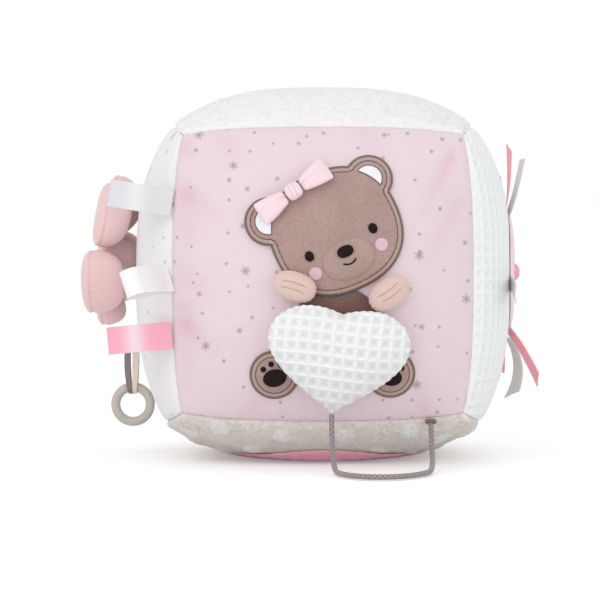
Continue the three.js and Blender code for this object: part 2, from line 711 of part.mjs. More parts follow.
const disc = ellipse(rosetteRadius, rosetteRadius, 32);
block.add(named('rosette_disc', applique(right, rosettePlace, disc, rosetteEdge, rosetteSwell, 5), 'satinPink'));

function button() {
  const outline = ellipse(buttonRadius, buttonRadius, 14);
  const base = fit + rosetteEdge + rosetteSwell + fit;
  const over = (s) => base + buttonThickness * Math.sqrt(1 - s * s * 0.85);
  return padded(outline, 3, over, () => base, onFace(right, rosettePlace));
}

block.add(named('rosette_button', button(), 'satinRose'));

function tail(lean, curl) {
  const steps = 7;
  const line = [new THREE.Vector2(0, 0)];
  for (let i = 0; i < steps; i++) {
    const angle = lean + curl * (i + 0.5) / steps;
    line.push(line[i].clone().add(new THREE.Vector2(Math.cos(angle), Math.sin(angle))));
  }
  const side = (half) => (s, t) => {
    const length = tailLength - tailSlant * t;
    const i = Math.round(s * steps);
    const angle = lean + curl * s;
    const middle = line[i].clone().multiplyScalar(length / steps);
    return new THREE.Vector3(middle.x - half * Math.sin(angle), (t - 0.5) * tailWidth, middle.y + half * Math.cos(angle));
  };
  return sheet(steps, 1, side(satin / 2), side(-satin / 2));
}

tails.forEach((one, i) => {
  const angle = one.turn;
  const at = (radius, lift) => overFace(X, 1, rosettePlace[0] - radius * Math.sin(angle),
    rosettePlace[1] + radius * Math.cos(angle), lift);
  const start = rosetteRadius + tailRootGap;
  const root = at(start, 2 * fit);
  const along = at(start + tailWidth / 2, 2 * fit).sub(root).normalize();
  const sideways = new THREE.Vector3(0, -Math.cos(angle), -Math.sin(angle));
  const outward = new THREE.Vector3().crossVectors(along, sideways).normalize();
  const squared = new THREE.Vector3().crossVectors(outward, along).normalize();
  const mesh = named(`ribbon_tail_${i + 1}`, tail(one.lean, one.curl), one.look);
  mesh.position.copy(root);
  aim(mesh, along, squared, outward);
  block.add(mesh);
});

export default toy;
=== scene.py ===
# %% [markdown]
# # A soft activity block for a baby
# The object is a stuffed cube with a different fabric on each face. On the front a padded teddy bear
# holds a stuffed heart on a cord, ribbon loops stand in the seam beside it, and a flower, a teething
# ring and a rosette of ribbon tails sit on the sides.
# Everything is modelled in millimetres round the middle of the block, which stands STAND above the
# floor, and turned into metres when a mesh is made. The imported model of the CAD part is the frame.

import json
import math

import bpy
import numpy as np
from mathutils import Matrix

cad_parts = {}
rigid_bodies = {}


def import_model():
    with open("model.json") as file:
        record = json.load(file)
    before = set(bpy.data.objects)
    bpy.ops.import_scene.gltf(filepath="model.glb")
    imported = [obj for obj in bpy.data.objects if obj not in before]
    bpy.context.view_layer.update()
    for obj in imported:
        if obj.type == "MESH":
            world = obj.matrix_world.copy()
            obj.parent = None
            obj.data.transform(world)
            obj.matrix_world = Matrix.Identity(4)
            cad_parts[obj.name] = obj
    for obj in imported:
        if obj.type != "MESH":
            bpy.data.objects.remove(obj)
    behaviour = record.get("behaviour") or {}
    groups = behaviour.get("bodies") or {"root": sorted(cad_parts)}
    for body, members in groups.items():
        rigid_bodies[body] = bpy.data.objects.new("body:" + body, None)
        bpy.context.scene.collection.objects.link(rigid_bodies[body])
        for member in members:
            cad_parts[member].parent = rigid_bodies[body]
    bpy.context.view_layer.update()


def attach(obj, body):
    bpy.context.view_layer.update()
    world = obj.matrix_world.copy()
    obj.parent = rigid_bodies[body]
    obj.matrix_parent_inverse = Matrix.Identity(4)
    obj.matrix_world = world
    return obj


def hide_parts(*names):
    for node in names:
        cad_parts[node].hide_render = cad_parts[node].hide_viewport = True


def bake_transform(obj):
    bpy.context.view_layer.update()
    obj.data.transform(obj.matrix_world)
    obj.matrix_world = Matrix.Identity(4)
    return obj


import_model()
scene = bpy.context.scene
MM = 0.001
STAND = 86.5

# %% [markdown]
# # The camera
# The block is seen straight from the front, level with its middle and from less than a metre, so the
# rounded sides show beside the front. A turned camera would make upright lines lean. A long lens with
# a small shift slides the picture instead, and upright lines stay upright.

# %% The camera
CAMERA_DISTANCE = 0.9
LENS = 112.2
SHIFT = (-0.0383, -0.0433)

camera = bpy.data.objects.new("camera", bpy.data.cameras.new("camera"))
scene.collection.objects.link(camera)
camera.location = (0, -CAMERA_DISTANCE, STAND * MM)
camera.rotation_euler = (math.radians(90), 0, 0)
camera.data.lens = LENS
camera.data.shift_x, camera.data.shift_y = SHIFT
scene.camera = camera
print("camera at", tuple(round(v, 3) for v in camera.location))

# %% [markdown]
# # Colours and node groups
# Fabric gets its look from three things: the colour of the yarn, the small shadows between its
# fibres, and a pale rim of light on fibres seen from the side. Pictures of cloth could give all that,
# but a picture repeats and stretches. Nodes make it at any scale: a noise shades the colour and feeds
# a bump, and sheen gives the rim. What several fabrics use is a node group, which is a little machine
# of nodes with its own sockets.

# %% Node helpers


def srgb(red, green, blue):
    """A colour written as 0 to 255 on a screen, turned into the linear numbers that the renderer uses."""
    share = np.array([red, green, blue]) / 255
    linear = np.where(share <= 0.04045, share / 12.92, ((share + 0.055) / 1.055) ** 2.4)
    return (*(float(v) for v in linear), 1.0)


def node(tree, kind, inputs=None, **settings):
    """Adds a node, sets its options, and fills its inputs with values or links."""
    made = tree.nodes.new(kind)
    for key, value in settings.items():
        setattr(made, key, value)
    for key, value in (inputs or {}).items():
        if isinstance(value, bpy.types.NodeSocket):
            tree.links.new(value, made.inputs[key])
        else:
            made.inputs[key].default_value = value
    return made


def calc(tree, operation, *values):
    """One step of arithmetic on sockets or numbers."""
    return node(tree, "ShaderNodeMath", dict(enumerate(values)), operation=operation).outputs[0]


def blend_colour(tree, share, first, second, mode="MIX"):
    """The first colour led over to the second by a share, or multiplied by it."""
    made = node(tree, "ShaderNodeMix", {0: share, 6: first, 7: second}, data_type="RGBA", blend_type=mode)
    return made.outputs[2]


FLOAT, VECTOR = "NodeSocketFloat", "NodeSocketVector"


def group(name, inputs, outputs):
    """An empty node group with named sockets. inputs gives each socket its kind and first value."""
    tree = bpy.data.node_groups.new(name, "ShaderNodeTree")
    for key, (kind, value) in inputs.items():
        socket = tree.interface.new_socket(key, in_out="INPUT", socket_type=kind)
        if value is not None:
            socket.default_value = value
    for key in outputs:
        tree.interface.new_socket(key, in_out="OUTPUT", socket_type=FLOAT)
    return tree, tree.nodes.new("NodeGroupInput").outputs, tree.nodes.new("NodeGroupOutput").inputs


print("a middle grey for the renderer:", round(srgb(128, 128, 128)[0], 3))

# %% [markdown]
# ## Nap, ribs and star print
# Nap is how short fibres shade a fabric, from soft patches down to single tufts: two noises, of which
# the fine one counts more. Ribs are the threads of a woven ribbon: one wave across it, and a fainter
# one along it. The print puts a mark in some of the cells of a scattered pattern. Its edge is a
# circle whose radius swings six times round, which makes a star, and with no swing a dot.

# %% Node groups
nap, nap_in, nap_out = group(
    "nap", {"Place": (VECTOR, None), "Size": (FLOAT, 900.0), "Depth": (FLOAT, 0.1)}, ("Shade", "Height"))
tufts = node(nap, "ShaderNodeTexNoise",
             {"Vector": nap_in["Place"], "Scale": nap_in["Size"], "Detail": 4.0, "Roughness": 0.65})
patches = node(nap, "ShaderNodeTexNoise", {"Vector": nap_in["Place"], "Scale": 70.0, "Detail": 3.0})
both = calc(nap, "ADD", calc(nap, "MULTIPLY", tufts.outputs["Fac"], 0.7),
            calc(nap, "MULTIPLY", patches.outputs["Fac"], 0.3))
around = calc(nap, "MULTIPLY", calc(nap, "SUBTRACT", both, 0.5), nap_in["Depth"])
nap.links.new(calc(nap, "ADD", around, 1.0), nap_out["Shade"])
nap.links.new(tufts.outputs["Fac"], nap_out["Height"])

ribs, ribs_in, ribs_out = group(
    "ribs", {"Flat": (VECTOR, None), "Across": (FLOAT, 1400.0), "Along": (FLOAT, 2400.0)}, ("Height",))
flat = node(ribs, "ShaderNodeSeparateXYZ", {0: ribs_in["Flat"]})
waves = [calc(ribs, "SINE", calc(ribs, "MULTIPLY", flat.outputs[axis], ribs_in[rate]))
         for axis, rate in ((0, "Across"), (1, "Along"))]
ribs.links.new(calc(ribs, "ADD", waves[0], calc(ribs, "MULTIPLY", waves[1], 0.35)), ribs_out["Height"])

SOFT_EDGE = 1.45  # how far past its radius a printed mark fades out
stars, stars_in, stars_out = group(
    "star print", {"Flat": (VECTOR, None), "Density": (FLOAT, 6.0), "Radius": (FLOAT, 0.015),
                   "Rays": (FLOAT, 0.5), "Share": (FLOAT, 0.5)}, ("Mask",))
cells = node(stars, "ShaderNodeTexVoronoi", {"Vector": stars_in["Flat"], "Scale": stars_in["Density"],
                                             "Randomness": 0.85}, voronoi_dimensions="2D")
away = node(stars, "ShaderNodeVectorMath", {0: stars_in["Flat"], 1: cells.outputs["Position"]},
            operation="SUBTRACT").outputs["Vector"]
parts = node(stars, "ShaderNodeSeparateXYZ", {0: away})
chance = node(stars, "ShaderNodeSeparateColor", {0: cells.outputs["Color"]})
angle = calc(stars, "ADD", calc(stars, "ARCTAN2", parts.outputs[1], parts.outputs[0]), chance.outputs[1])
ray = calc(stars, "MULTIPLY", calc(stars, "COSINE", calc(stars, "MULTIPLY", angle, 6.0)), stars_in["Rays"])
grow = calc(stars, "ADD", 0.6, calc(stars, "MULTIPLY", chance.outputs[2], 0.5))
reach = calc(stars, "MULTIPLY", calc(stars, "ADD", ray, 1.0), grow)
reach = calc(stars, "MULTIPLY", reach, stars_in["Radius"])
distance = node(stars, "ShaderNodeVectorMath", {0: away}, operation="LENGTH").outputs["Value"]
soft = node(stars, "ShaderNodeMapRange",
            {0: calc(stars, "DIVIDE", distance, reach), 1: SOFT_EDGE, 2: 0.0, 3: 0.0, 4: 1.0})
chosen = calc(stars, "LESS_THAN", chance.outputs[0], stars_in["Share"])
stars.links.new(calc(stars, "MULTIPLY", soft.outputs[0], chosen), stars_out["Mask"])
print("node groups:", len(bpy.data.node_groups))

# %% [markdown]
# # One function for every fabric
# The block has plush, sherpa, waffle weave, minky, velour, fur and satin on it, and they differ in
# the same few numbers. So one function makes every fabric. It starts from a colour, may lead over to
# a second one where the mesh carries a mask, may add the star print, lets the nap shade it, and ends
# in a Principled shader. A mask is a number stored on the points of a mesh, such as how deep a point
# lies in a cell of waffle weave.

# %% One function for every fabric
PRINT = ((5.0, 0.0175, 0.25, 0.5), (8.4, 0.0095, 0.0, 0.7))  # density, radius, rays, share: stars, dots


def fabric(name, colour, rough=0.95, sheen=0.25, size=900.0, depth=0.1, bump=0.0003, mask=None,
           second=None, print_colour=None, print_strength=1.0, weave=None):
    """A fabric. mask names a number stored on the mesh that leads over to the second colour, weave gives
    the threads of a ribbon, and print_colour scatters small stars and dots."""
    material = bpy.data.materials.new(name)
    material.use_nodes = True
    tree = material.node_tree
    shader = tree.nodes["Principled BSDF"]
    where = node(tree, "ShaderNodeTexCoord").outputs
    fibres = node(tree, "ShaderNodeGroup", {"Place": where["Object"], "Size": size, "Depth": depth},
                  node_tree=nap)
    base = srgb(*colour)
    if mask:
        stored = node(tree, "ShaderNodeAttribute", attribute_name=mask)
        base = blend_colour(tree, stored.outputs["Fac"], base, srgb(*second))
    if print_colour:
        for density, radius, rays, share in PRINT:
            marks = node(tree, "ShaderNodeGroup", {"Flat": where["UV"], "Density": density, "Radius": radius,
                                                   "Rays": rays, "Share": share}, node_tree=stars)
            faded = calc(tree, "MULTIPLY", marks.outputs["Mask"], print_strength)
            base = blend_colour(tree, faded, base, srgb(*print_colour))
    shade = node(tree, "ShaderNodeCombineColor", {k: fibres.outputs["Shade"] for k in range(3)})
    base = blend_colour(tree, 1.0, base, shade.outputs[0], "MULTIPLY")
    tree.links.new(base, shader.inputs["Base Color"])
    height = fibres.outputs["Height"]
    if weave:
        threads = node(tree, "ShaderNodeGroup", {"Flat": where["UV"], "Across": weave[0], "Along": weave[1]},
                       node_tree=ribs)
        height = threads.outputs["Height"]
    relief = node(tree, "ShaderNodeBump", {"Height": height, "Strength": 0.6, "Distance": bump})
    tree.links.new(relief.outputs[0], shader.inputs["Normal"])
    shader.inputs["Roughness"].default_value = rough
    shader.inputs["Sheen Weight"].default_value = sheen
    shader.inputs["Sheen Roughness"].default_value = 0.5
    shader.inputs["Specular IOR Level"].default_value = 0.25 if rough > 0.8 else 0.5
    return material


print("layers in the print:", len(PRINT))

# %% [markdown]
# # The fabrics of this block
# Here each fabric gets its numbers. Satin is smoother and shows its weave, fur is rough and patchy, thread is
# fine, and waffle weave is painted darker in its hollows, as shade. What several fabrics share is written
# once and handed on by name, which keeps them alike when it changes.

# %% The fabrics of this block
WEAVE = (1400.0, 2600.0)  # how close the threads of a ribbon lie, across and along
SATIN_LOOK = dict(rough=0.4, weave=WEAVE, bump=0.00004)
TAPE_LOOK = dict(rough=0.5, weave=WEAVE, bump=0.00004)
FUR_LOOK = dict(size=1100.0, bump=0.0006)
THREAD_LOOK = dict(size=3000.0, bump=0.0001)
# waffle: the second colour is painted shade in the hollows of the cells
WAFFLE_LOOK = dict(size=2600.0, depth=0.05, mask="hollow", bump=0.0002)
looks = {
    # pink plush: the second colour is painted shade, a darker pink in the folds of the front
    "pink_plush": fabric("pink plush", (235, 216, 223), mask="fold", second=(231, 189, 200),
                         print_colour=(118, 114, 142), print_strength=0.72),
    "white_plush": fabric("white plush", (241, 241, 243), print_colour=(140, 142, 162), print_strength=0.6),
    # sherpa: the second colour is painted shade in the low parts between the curls
    "sherpa": fabric("sherpa", (247, 247, 245), size=1500.0, depth=0.06, mask="hollow",
                     second=(238, 238, 235), bump=0.0004),
    "waffle": fabric("waffle", (251, 253, 253), second=(239, 243, 244), **WAFFLE_LOOK),
    # A darker second colour for the heart's waffle: stronger painted shade in its hollows.
    "heart_waffle": fabric("heart waffle", (250, 251, 251), second=(224, 227, 228), **WAFFLE_LOOK),
    # minky: the second colour is a painted highlight on the raised dots and the tops of the pile
    "minky": fabric("minky", (230, 221, 214), size=700.0, depth=0.8, mask="dot", second=(243, 240, 237),
                    bump=0.0008),
    "filling": fabric("filling", (244, 242, 238)),
    "coral_satin": fabric("coral satin", (255, 182, 202), rough=0.5, weave=WEAVE, bump=0.00006, depth=0.05),
    "fur": fabric("fur", (178, 150, 144), depth=0.95, **FUR_LOOK),
    # A darker copy of the fur for the body: painted shade for where it lies between the head and the heart.
    "shaded_fur": fabric("shaded fur", (124, 94, 87), depth=1.0, **FUR_LOOK),
    "pale_fur": fabric("pale fur", (182, 154, 147), depth=0.9, **FUR_LOOK),
    "thread": fabric("dark thread", (34, 19, 17), rough=0.9, sheen=0.04, **THREAD_LOOK),
    # Between its threads the line thread turns paler; the brown and tan thread turn darker there, which is
    # painted shade.
    "line_thread": fabric("line thread", (84, 62, 56), rough=0.7, mask="hollow", second=(128, 102, 94),
                          **THREAD_LOOK),
    "brown_thread": fabric("brown thread", (130, 109, 99), rough=0.7, mask="hollow", second=(84, 66, 59),
                           **THREAD_LOOK),
    "tan_thread": fabric("tan thread", (198, 173, 162), rough=0.8, mask="hollow", second=(158, 131, 121),
                         **THREAD_LOOK),
    "blush": fabric("blush thread", (228, 190, 204), rough=0.7, **THREAD_LOOK),
    # peach: the second colour is painted shade in the grooves of the paws
    "peach": fabric("peach velour", (226, 198, 189), size=1100.0, depth=0.4, mask="fold",
                    second=(196, 164, 149)),
    # pink satin: the second colour is painted shade in the folds and creases of the bow
    "pink_satin": fabric("pink satin", (250, 223, 230), rough=0.5, size=2600.0, depth=0.05, bump=0.00012,
                         mask="fold", second=(236, 196, 207)),
    # The second colours of the grey and the rose satin are painted highlights: a lighter band along the
    # ribbon loops.
    "grey_satin": fabric("pale grey satin", (226, 227, 230), depth=0.04, mask="painted_highlight",
                         second=(238, 240, 242), **SATIN_LOOK),
    "white_satin": fabric("white satin", (254, 254, 255), depth=0.03, **SATIN_LOOK),
    "rose_satin": fabric("rose satin", (255, 176, 198), depth=0.04, mask="painted_highlight", second=(252, 226, 235),
                         **SATIN_LOOK),
    "tail_rose": fabric("rose tail", (250, 154, 168), depth=0.04, **SATIN_LOOK),
    # braid: the second colour is painted shade in the dips between the strands
    "braid": fabric("braid", (174, 162, 162), rough=0.75, size=3000.0, depth=0.2, mask="hollow",
                    second=(118, 110, 108)),
    # velour: the second colour is painted shade in the folds of the petals
    "velour": fabric("dusty pink velour", (240, 203, 203), sheen=0.5, size=1300.0, depth=0.12, mask="fold",
                     second=(204, 156, 158)),
    # A paler copy of the petals' velour for the flower's centre: painted light against the shade between the
    # petals.
    "lightened_velour_centre": fabric("lightened velour centre", (245, 212, 211), sheen=0.5, size=1300.0, depth=0.12),
    "taupe_ribbon": fabric("taupe ribbon", (134, 125, 120), **TAPE_LOOK),
    "cream_ribbon": fabric("cream ribbon", (236, 219, 208), **TAPE_LOOK),
    "ring_rubber": fabric("ring rubber", (197, 191, 182), rough=0.5, sheen=0.0, size=500.0, depth=0.03,
                          bump=0.00002),
    "warm_satin": fabric("warm grey satin", (218, 213, 209), depth=0.04, **SATIN_LOOK),
    "ear_plush": fabric("ear plush", (243, 243, 250)),
}
print("materials:", len(looks))

# %% [markdown]
# # Meshes from arrays
# Cloth could be drawn as a flat sheet and bent by hand, but then nothing says how one piece follows
# the next. Here each piece is a surface: a grid of points computed at once from two parameters, and
# closed where it ends. The sign of its volume tells which way the faces look, so no piece can come out
# inside out.

# %% Mesh helpers
UV_UNIT = 100  # millimetres of cloth in one unit of the flat layout


def quads(rows, columns, wrap_rows=False, wrap_columns=False):
    """The four corners of each cell of a grid of points, which may close on itself either way."""
    i, j = np.meshgrid(np.arange(rows - (not wrap_rows)), np.arange(columns - (not wrap_columns)),
                       indexing="ij")
    after_i, after_j = (i + 1) % rows, (j + 1) % columns
    corners = [i * columns + j, after_i * columns + j, after_i * columns + after_j, i * columns + after_j]
    return np.stack(corners, -1).reshape(-1, 4)


def make(name, points, polygons, body, nodes, look, slot_name=None, flat=None, masks=None, sharp=None):
    """A mesh object from points in millimetres, faces, a flat layout and masks. It rides on its body, if it
    has one. The volume is the sum of a . (b x c) over its triangles, and a negative one turns the faces."""
    points = np.asarray(points, float).reshape(-1, 3)
    volume = 0.0
    for faces in polygons:
        for k in range(1, faces.shape[1] - 1):
            a, b, c = points[faces[:, 0]], points[faces[:, k]], points[faces[:, k + 1]]
            volume += np.einsum("ij,ij->", a, np.cross(b, c))
    if volume < 0:
        polygons = [faces[:, ::-1] for faces in polygons]
    corners = np.concatenate([faces.ravel() for faces in polygons]).astype(np.int32)
    counts = np.concatenate([np.full(len(faces), faces.shape[1]) for faces in polygons])
    name = name.replace("_", "-")
    mesh = bpy.data.meshes.new(name)
    mesh.vertices.add(len(points))
    mesh.vertices.foreach_set("co", ((points + (0, 0, STAND)) * MM).ravel())
    mesh.loops.add(len(corners))
    mesh.loops.foreach_set("vertex_index", corners)
    mesh.polygons.add(len(counts))
    mesh.polygons.foreach_set("loop_start", np.concatenate([[0], np.cumsum(counts)[:-1]]).astype(np.int32))
    mesh.polygons.foreach_set("use_smooth", np.ones(len(counts), bool))
    mesh.update(calc_edges=True)
    if flat is not None:
        layout = mesh.uv_layers.new(name="flat")
        layout.data.foreach_set("uv", (np.asarray(flat, float).reshape(-1, 2)[corners] / UV_UNIT).ravel())
    for key, values in (masks or {}).items():
        stored = mesh.attributes.new(key, "FLOAT", "POINT")
        values = np.clip(np.asarray(values, float), 0, 1).ravel().astype(np.float32)
        stored.data.foreach_set("value", values)
    if sharp:
        mesh.set_sharp_from_angle(angle=math.radians(sharp))
    mesh.materials.append(looks[look])
    piece = bpy.data.objects.new(name, mesh)
    scene.collection.objects.link(piece)
    if body:
        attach(piece, body)
    if nodes:
        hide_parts(*nodes)
    slot_name or look
    return piece


print("faces of a grid of 3 by 3 points:", len(quads(3, 3)))

# %% [markdown]
# # Slabs and polar bodies
# Two kinds of closed surface are enough here. A slab is a sheet with a thickness, for cloth and
# ribbon: two grids joined by a strip of faces round their edges. A polar body is for everything
# padded: a stack of rings round a middle, with a fan of triangles at each end.

# %% Slabs and polar bodies


def slab(top, bottom):
    """Points and faces of a closed sheet between two grids of points with the same layout."""
    rows, columns = top.shape[:2]
    face = quads(rows, columns)
    i, j = np.arange(rows) * columns, np.arange(columns)
    loop = np.concatenate([i, i[-1] + j[1:], (i + columns - 1)[::-1][1:], j[::-1][1:-1]])
    ahead = np.roll(loop, -1)
    below = rows * columns
    side = np.stack([ahead, loop, loop + below, ahead + below], -1)
    points = np.concatenate([top.reshape(-1, 3), bottom.reshape(-1, 3)])
    return points, [face, face[:, ::-1] + below, side]


def polar(rings, first, last):
    """Points and faces of a closed body from rings of points and the two middle points at its ends."""
    rows, columns = rings.shape[:2]
    j = np.arange(columns)
    after = (j + 1) % columns
    end = (rows - 1) * columns
    fans = [np.stack([np.full(columns, rows * columns), j, after], -1),
            np.stack([np.full(columns, rows * columns + 1), end + after, end + j], -1)]
    points = np.concatenate([rings.reshape(-1, 3), [first], [last]])
    return points, [quads(rows, columns, wrap_columns=True), *fans]


print("corners of a slab of 2 by 2 points:", len(slab(np.zeros((2, 2, 3)), np.ones((2, 2, 3)))[0]))

# %% [markdown]
# # Random heights
# Cloth is never even, so most shapes here add a soft random height to a clean form. Blender's own
# noise takes one point at a time, and a panel has many thousands, so this one works on whole arrays.
# A sine times a large number gives the same random number for the same place on every run.

# %% Random heights


def lattice(x, y, seed):
    """A random number from 0 to 1 for each whole place: the tail of a large multiple of a sine."""
    return np.modf(np.abs(np.sin(x * 127.1 + y * 311.7 + seed * 74.7) * 43758.5453))[0]


def noise(x, y, seed=0):
    """A soft random height from 0 to 1: the random numbers of a lattice, led smoothly from one to the
    next by 3 u^2 - 2 u^3 along both directions."""
    i, j = np.floor(x), np.floor(y)
    u, v = x - i, y - j
    u, v = u * u * (3 - 2 * u), v * v * (3 - 2 * v)
    low = lattice(i, j, seed) * (1 - u) + lattice(i + 1, j, seed) * u
    high = lattice(i, j + 1, seed) * (1 - u) + lattice(i + 1, j + 1, seed) * u
    return low * (1 - v) + high * v


print("a random height between four places:", round(float(noise(0.5, 0.5)), 3))

# %% [markdown]
# # Outlines
# The outlines of the pieces are lines of points in a plane. A few small functions make an oval, turn
# a line, space its points evenly, and say how far out a point lies in it.

# %% Outlines


def spin(count):
    """Angles once round a circle, evenly spaced."""
    return np.arange(count) / count * 2 * math.pi


def to_rim(steps):
    """Shares of the way from the middle to the rim: a quarter of a sine, so closer together at the rim."""
    return np.sin(np.linspace(0, 1, steps + 1)[1:] * math.pi / 2)


def rounded(share):
    """A quarter of a circle: steep at 0 and level at 1."""
    return np.sqrt(1 - (1 - np.clip(share, 0, 1)) ** 2)


def turned(points, degrees):
    """Points of a plane turned round its middle."""
    c, s = math.cos(math.radians(degrees)), math.sin(math.radians(degrees))
    return np.stack([points[..., 0] * c - points[..., 1] * s, points[..., 0] * s + points[..., 1] * c], -1)


def unturned(a, b, degrees):
    """The two places a and b of points that are turned back, to draw on a leaning piece upright."""
    return np.moveaxis(turned(np.stack(np.broadcast_arrays(a, b), -1), -degrees), -1, 0)


def resample(outline, count, closed=True):
    """The same line with its points evenly spaced along it."""
    line = np.concatenate([outline, outline[:1]]) if closed else np.asarray(outline, float)
    along = np.concatenate([[0], np.cumsum(np.linalg.norm(np.diff(line, axis=0), axis=1))])
    at = np.linspace(0, along[-1], count + closed)[: count]
    return np.stack([np.interp(at, along, line[:, k]) for k in range(line.shape[1])], -1)


def oval(half_width, half_height, power=2.0, count=720):
    """All points where (x / half_width)^power + (y / half_height)^power is 1: more power, squarer."""
    angle = spin(count)
    c, s = np.cos(angle), np.sin(angle)
    radius = (np.abs(c / half_width) ** power + np.abs(s / half_height) ** power) ** (-1 / power)
    return np.stack([c * radius, s * radius], -1)


def share_in(outline, a, b):
    """How far out a point lies in an outline round its middle: 0 there and 1 on the rim."""
    angle = np.arctan2(outline[:, 1], outline[:, 0])
    order = np.argsort(angle)
    rim = np.interp(np.arctan2(b, a), angle[order], np.hypot(*outline.T)[order], period=2 * math.pi)
    return np.hypot(a, b) / rim


print("an oval of", len(oval(1, 1)), "points")

# %% [markdown]
# # The stuffed block
# Filling pushes each panel out, and the seams hold it back. Cloth simulation could blow a cube up,
# but its seams would not land where the photograph has them. So a face is a formula: a dome over four
# seams that bow out themselves, which is a flat part, plus a bow along each seam, plus the dome in
# the middle. It runs over two shares s and t, from -1 to 1 between the seams. The curve of a bow is
# 1 - |share|^3.

# %% The faces of the block
X, Y, Z = 0, 1, 2
CROWN = (88.5, 90, 88)  # how far the middle of a face stands out along each axis
CORNER = (64, 64, 63.5)  # where the corners of the block lie
SEAM_BOW = ((0, 6.5, 4), (5.5, 0, 5.5), (3, 6.5, 0))  # towards an axis, by the axis that the seam follows
BOTTOM_SPREAD = 4  # and this much more at the two sides of the bottom
FLOOR_HEIGHT = 82.2  # the underside is pressed flat at this depth
COVER = 1.6  # thickness of the padded cover
FIT = 0.3  # room under a sewn-on piece
BASE_RADIUS = 52  # of the patch under the block


def other_axes(axis):
    """The two axes along a face."""
    return [k for k in (X, Y, Z) if k != axis]


def curve(share):
    """The bow of a seam: 1 in its middle and 0 at its ends."""
    return 1 - np.abs(share) ** 3


def bow(side, run, rise):
    """How far a seam bows towards the axis side where it follows the axis run. rise is -1 at the bottom and
    1 at the top, because the sides bow out further below."""
    spread = BOTTOM_SPREAD * (1 - rise) / 2 if side == X and run == Y else 0
    return SEAM_BOW[side][run] + spread


def face_height(axis, sign, s, t, inset):
    """Height of a face over its middle plane: corner, plus each seam's bow, plus the dome between them."""
    p, q = other_axes(axis)
    bow_p, bow_q = bow(axis, p, t), bow(axis, q, t)
    dome = CROWN[axis] - CORNER[axis] - bow_p - bow_q
    height = CORNER[axis] + bow_q * curve(t) + bow_p * curve(s) + dome * curve(s) * curve(t)
    if axis == Z and sign < 0:
        height = np.minimum(height, FLOOR_HEIGHT)
    return height - inset


print("block:", [2 * crown for crown in CROWN], "mm through the middle of its faces")

# %% [markdown]
# # Points on the faces
# The shares s and t suit the panels, whose edges are the seams. What is sewn on a face is measured in
# millimetres across it, so a second way to a point starts from there. The surface is the same, and a
# piece can be laid on it at any height.

# %% Points on the faces


def place3(axis, sign, a, b, height):
    """A point in space from its two places along a face and its height over the middle plane."""
    p, q = other_axes(axis)
    point = np.zeros((*np.shape(a), 3))
    point[..., axis], point[..., p], point[..., q] = sign * height, a, b
    return point


def face_point(axis, sign, s, t, inset):
    """A point of a face from its two shares between the seams, and how far it lies inside."""
    p, q = other_axes(axis)
    a = s * (CORNER[p] - inset + bow(p, q, sign) * curve(t))
    b = t * (CORNER[q] - inset + bow(q, p, sign) * curve(s))
    return place3(axis, sign, a, b, face_height(axis, sign, s, t, inset))


def over_face(axis, sign, a, b, lift):
    """A point over a face at a and b across its plane. Each share depends on the other through the bow
    of its seam, so they are found in turns, and twelve turns bring them to rest."""
    p, q = other_axes(axis)
    s, t = a / CORNER[p], b / CORNER[q]
    for _ in range(12):
        s = a / (CORNER[p] + bow(p, q, sign) * curve(t))
        t = b / (CORNER[q] + bow(q, p, sign) * curve(s))
    return place3(axis, sign, a, b, face_height(axis, sign, s, t, 0) + lift)


def on_front(middle):
    """Puts a piece on the front: a function from places round the middle to points in space."""
    return lambda a, b, lift: over_face(Y, -1, middle[0] + a, middle[1] + b, lift)


print("the middle of the front lies at", *on_front((0, 0))(0.0, 0.0, 0.0))

# %% [markdown]
# # Folds in the plush
# Plush is smooth, and shows how the cloth is pulled: soft folds run in from the seams of the front, and slow
# dents cross the other sides. A bump in the material would vanish at the edge of the block, where they show
# against the background, so they are heights over the panels, and only the nap is bump. Each such function
# gives how far the cloth sinks, and the masks that its material reads. The fold mask of the front paints its
# folds a darker pink: painted shade.

# %% Folds in the plush
# From a point to a point, half width and depth
FOLDS = (((-62, 33), (-60, 14), 4.5, 0.7), ((-62, -16), (-60, -48), 4.5, 0.6),
         ((58, 52), (45, 27), 3.2, 0.9), ((60, 30), (47, 6), 4.5, 0.6),
         ((-61, 36), (-47, 26), 4.5, 0.8), ((-62, 57), (-59, 53), 4, 0.8),
         ((-61, -2), (-50, -10), 5, 0.6), ((-61, -24), (-49, -33), 4.5, 0.9),
         ((44, -60), (40, -50), 4, 0.6), ((-30, -61), (-24, -52), 5, 0.5),
         ((20, 61), (26, 52), 5, 0.5), ((-44, 60), (-36, 50), 5, 0.5))
BEAR_MIDDLE, BEAR_HALF = (6, -12), (40, 50)  # where the bear holds the front flat


def front_folds(a, b, clear, seed):
    """Each fold is a rounded dent along a short line, exp(-(distance / half width)^2), and shallower towards
    its end. The padded bear holds the cloth flat round it. The fold mask, 0.55 of the depth, paints the folds
    darker: painted shade."""
    depth = np.zeros(np.shape(a))
    for start, end, half, deep in FOLDS:
        run = np.subtract(end, start)
        along = np.clip(((a - start[0]) * run[0] + (b - start[1]) * run[1]) / (run @ run), 0, 1)
        off = np.hypot(a - start[0] - along * run[0], b - start[1] - along * run[1])
        depth += deep * np.exp(-(off / half) ** 2) * (1 - 0.6 * along)
    off = np.hypot((a - BEAR_MIDDLE[0]) / BEAR_HALF[0], (b - BEAR_MIDDLE[1]) / BEAR_HALF[1])
    fold = depth * (1 - np.exp(-off ** 6))
    return fold * clear, {"fold": fold * 0.55}


def slow_dents(a, b, clear, seed):
    """Plush over loose filling: a random height 26 mm wide, of which only the upper part sinks."""
    dents = np.clip(noise(a / 26, b / 26, seed) - 0.35, 0, 1)
    return 0.5 * dents * clear, {"fold": a * 0}


print("folds in the front:", len(FOLDS))

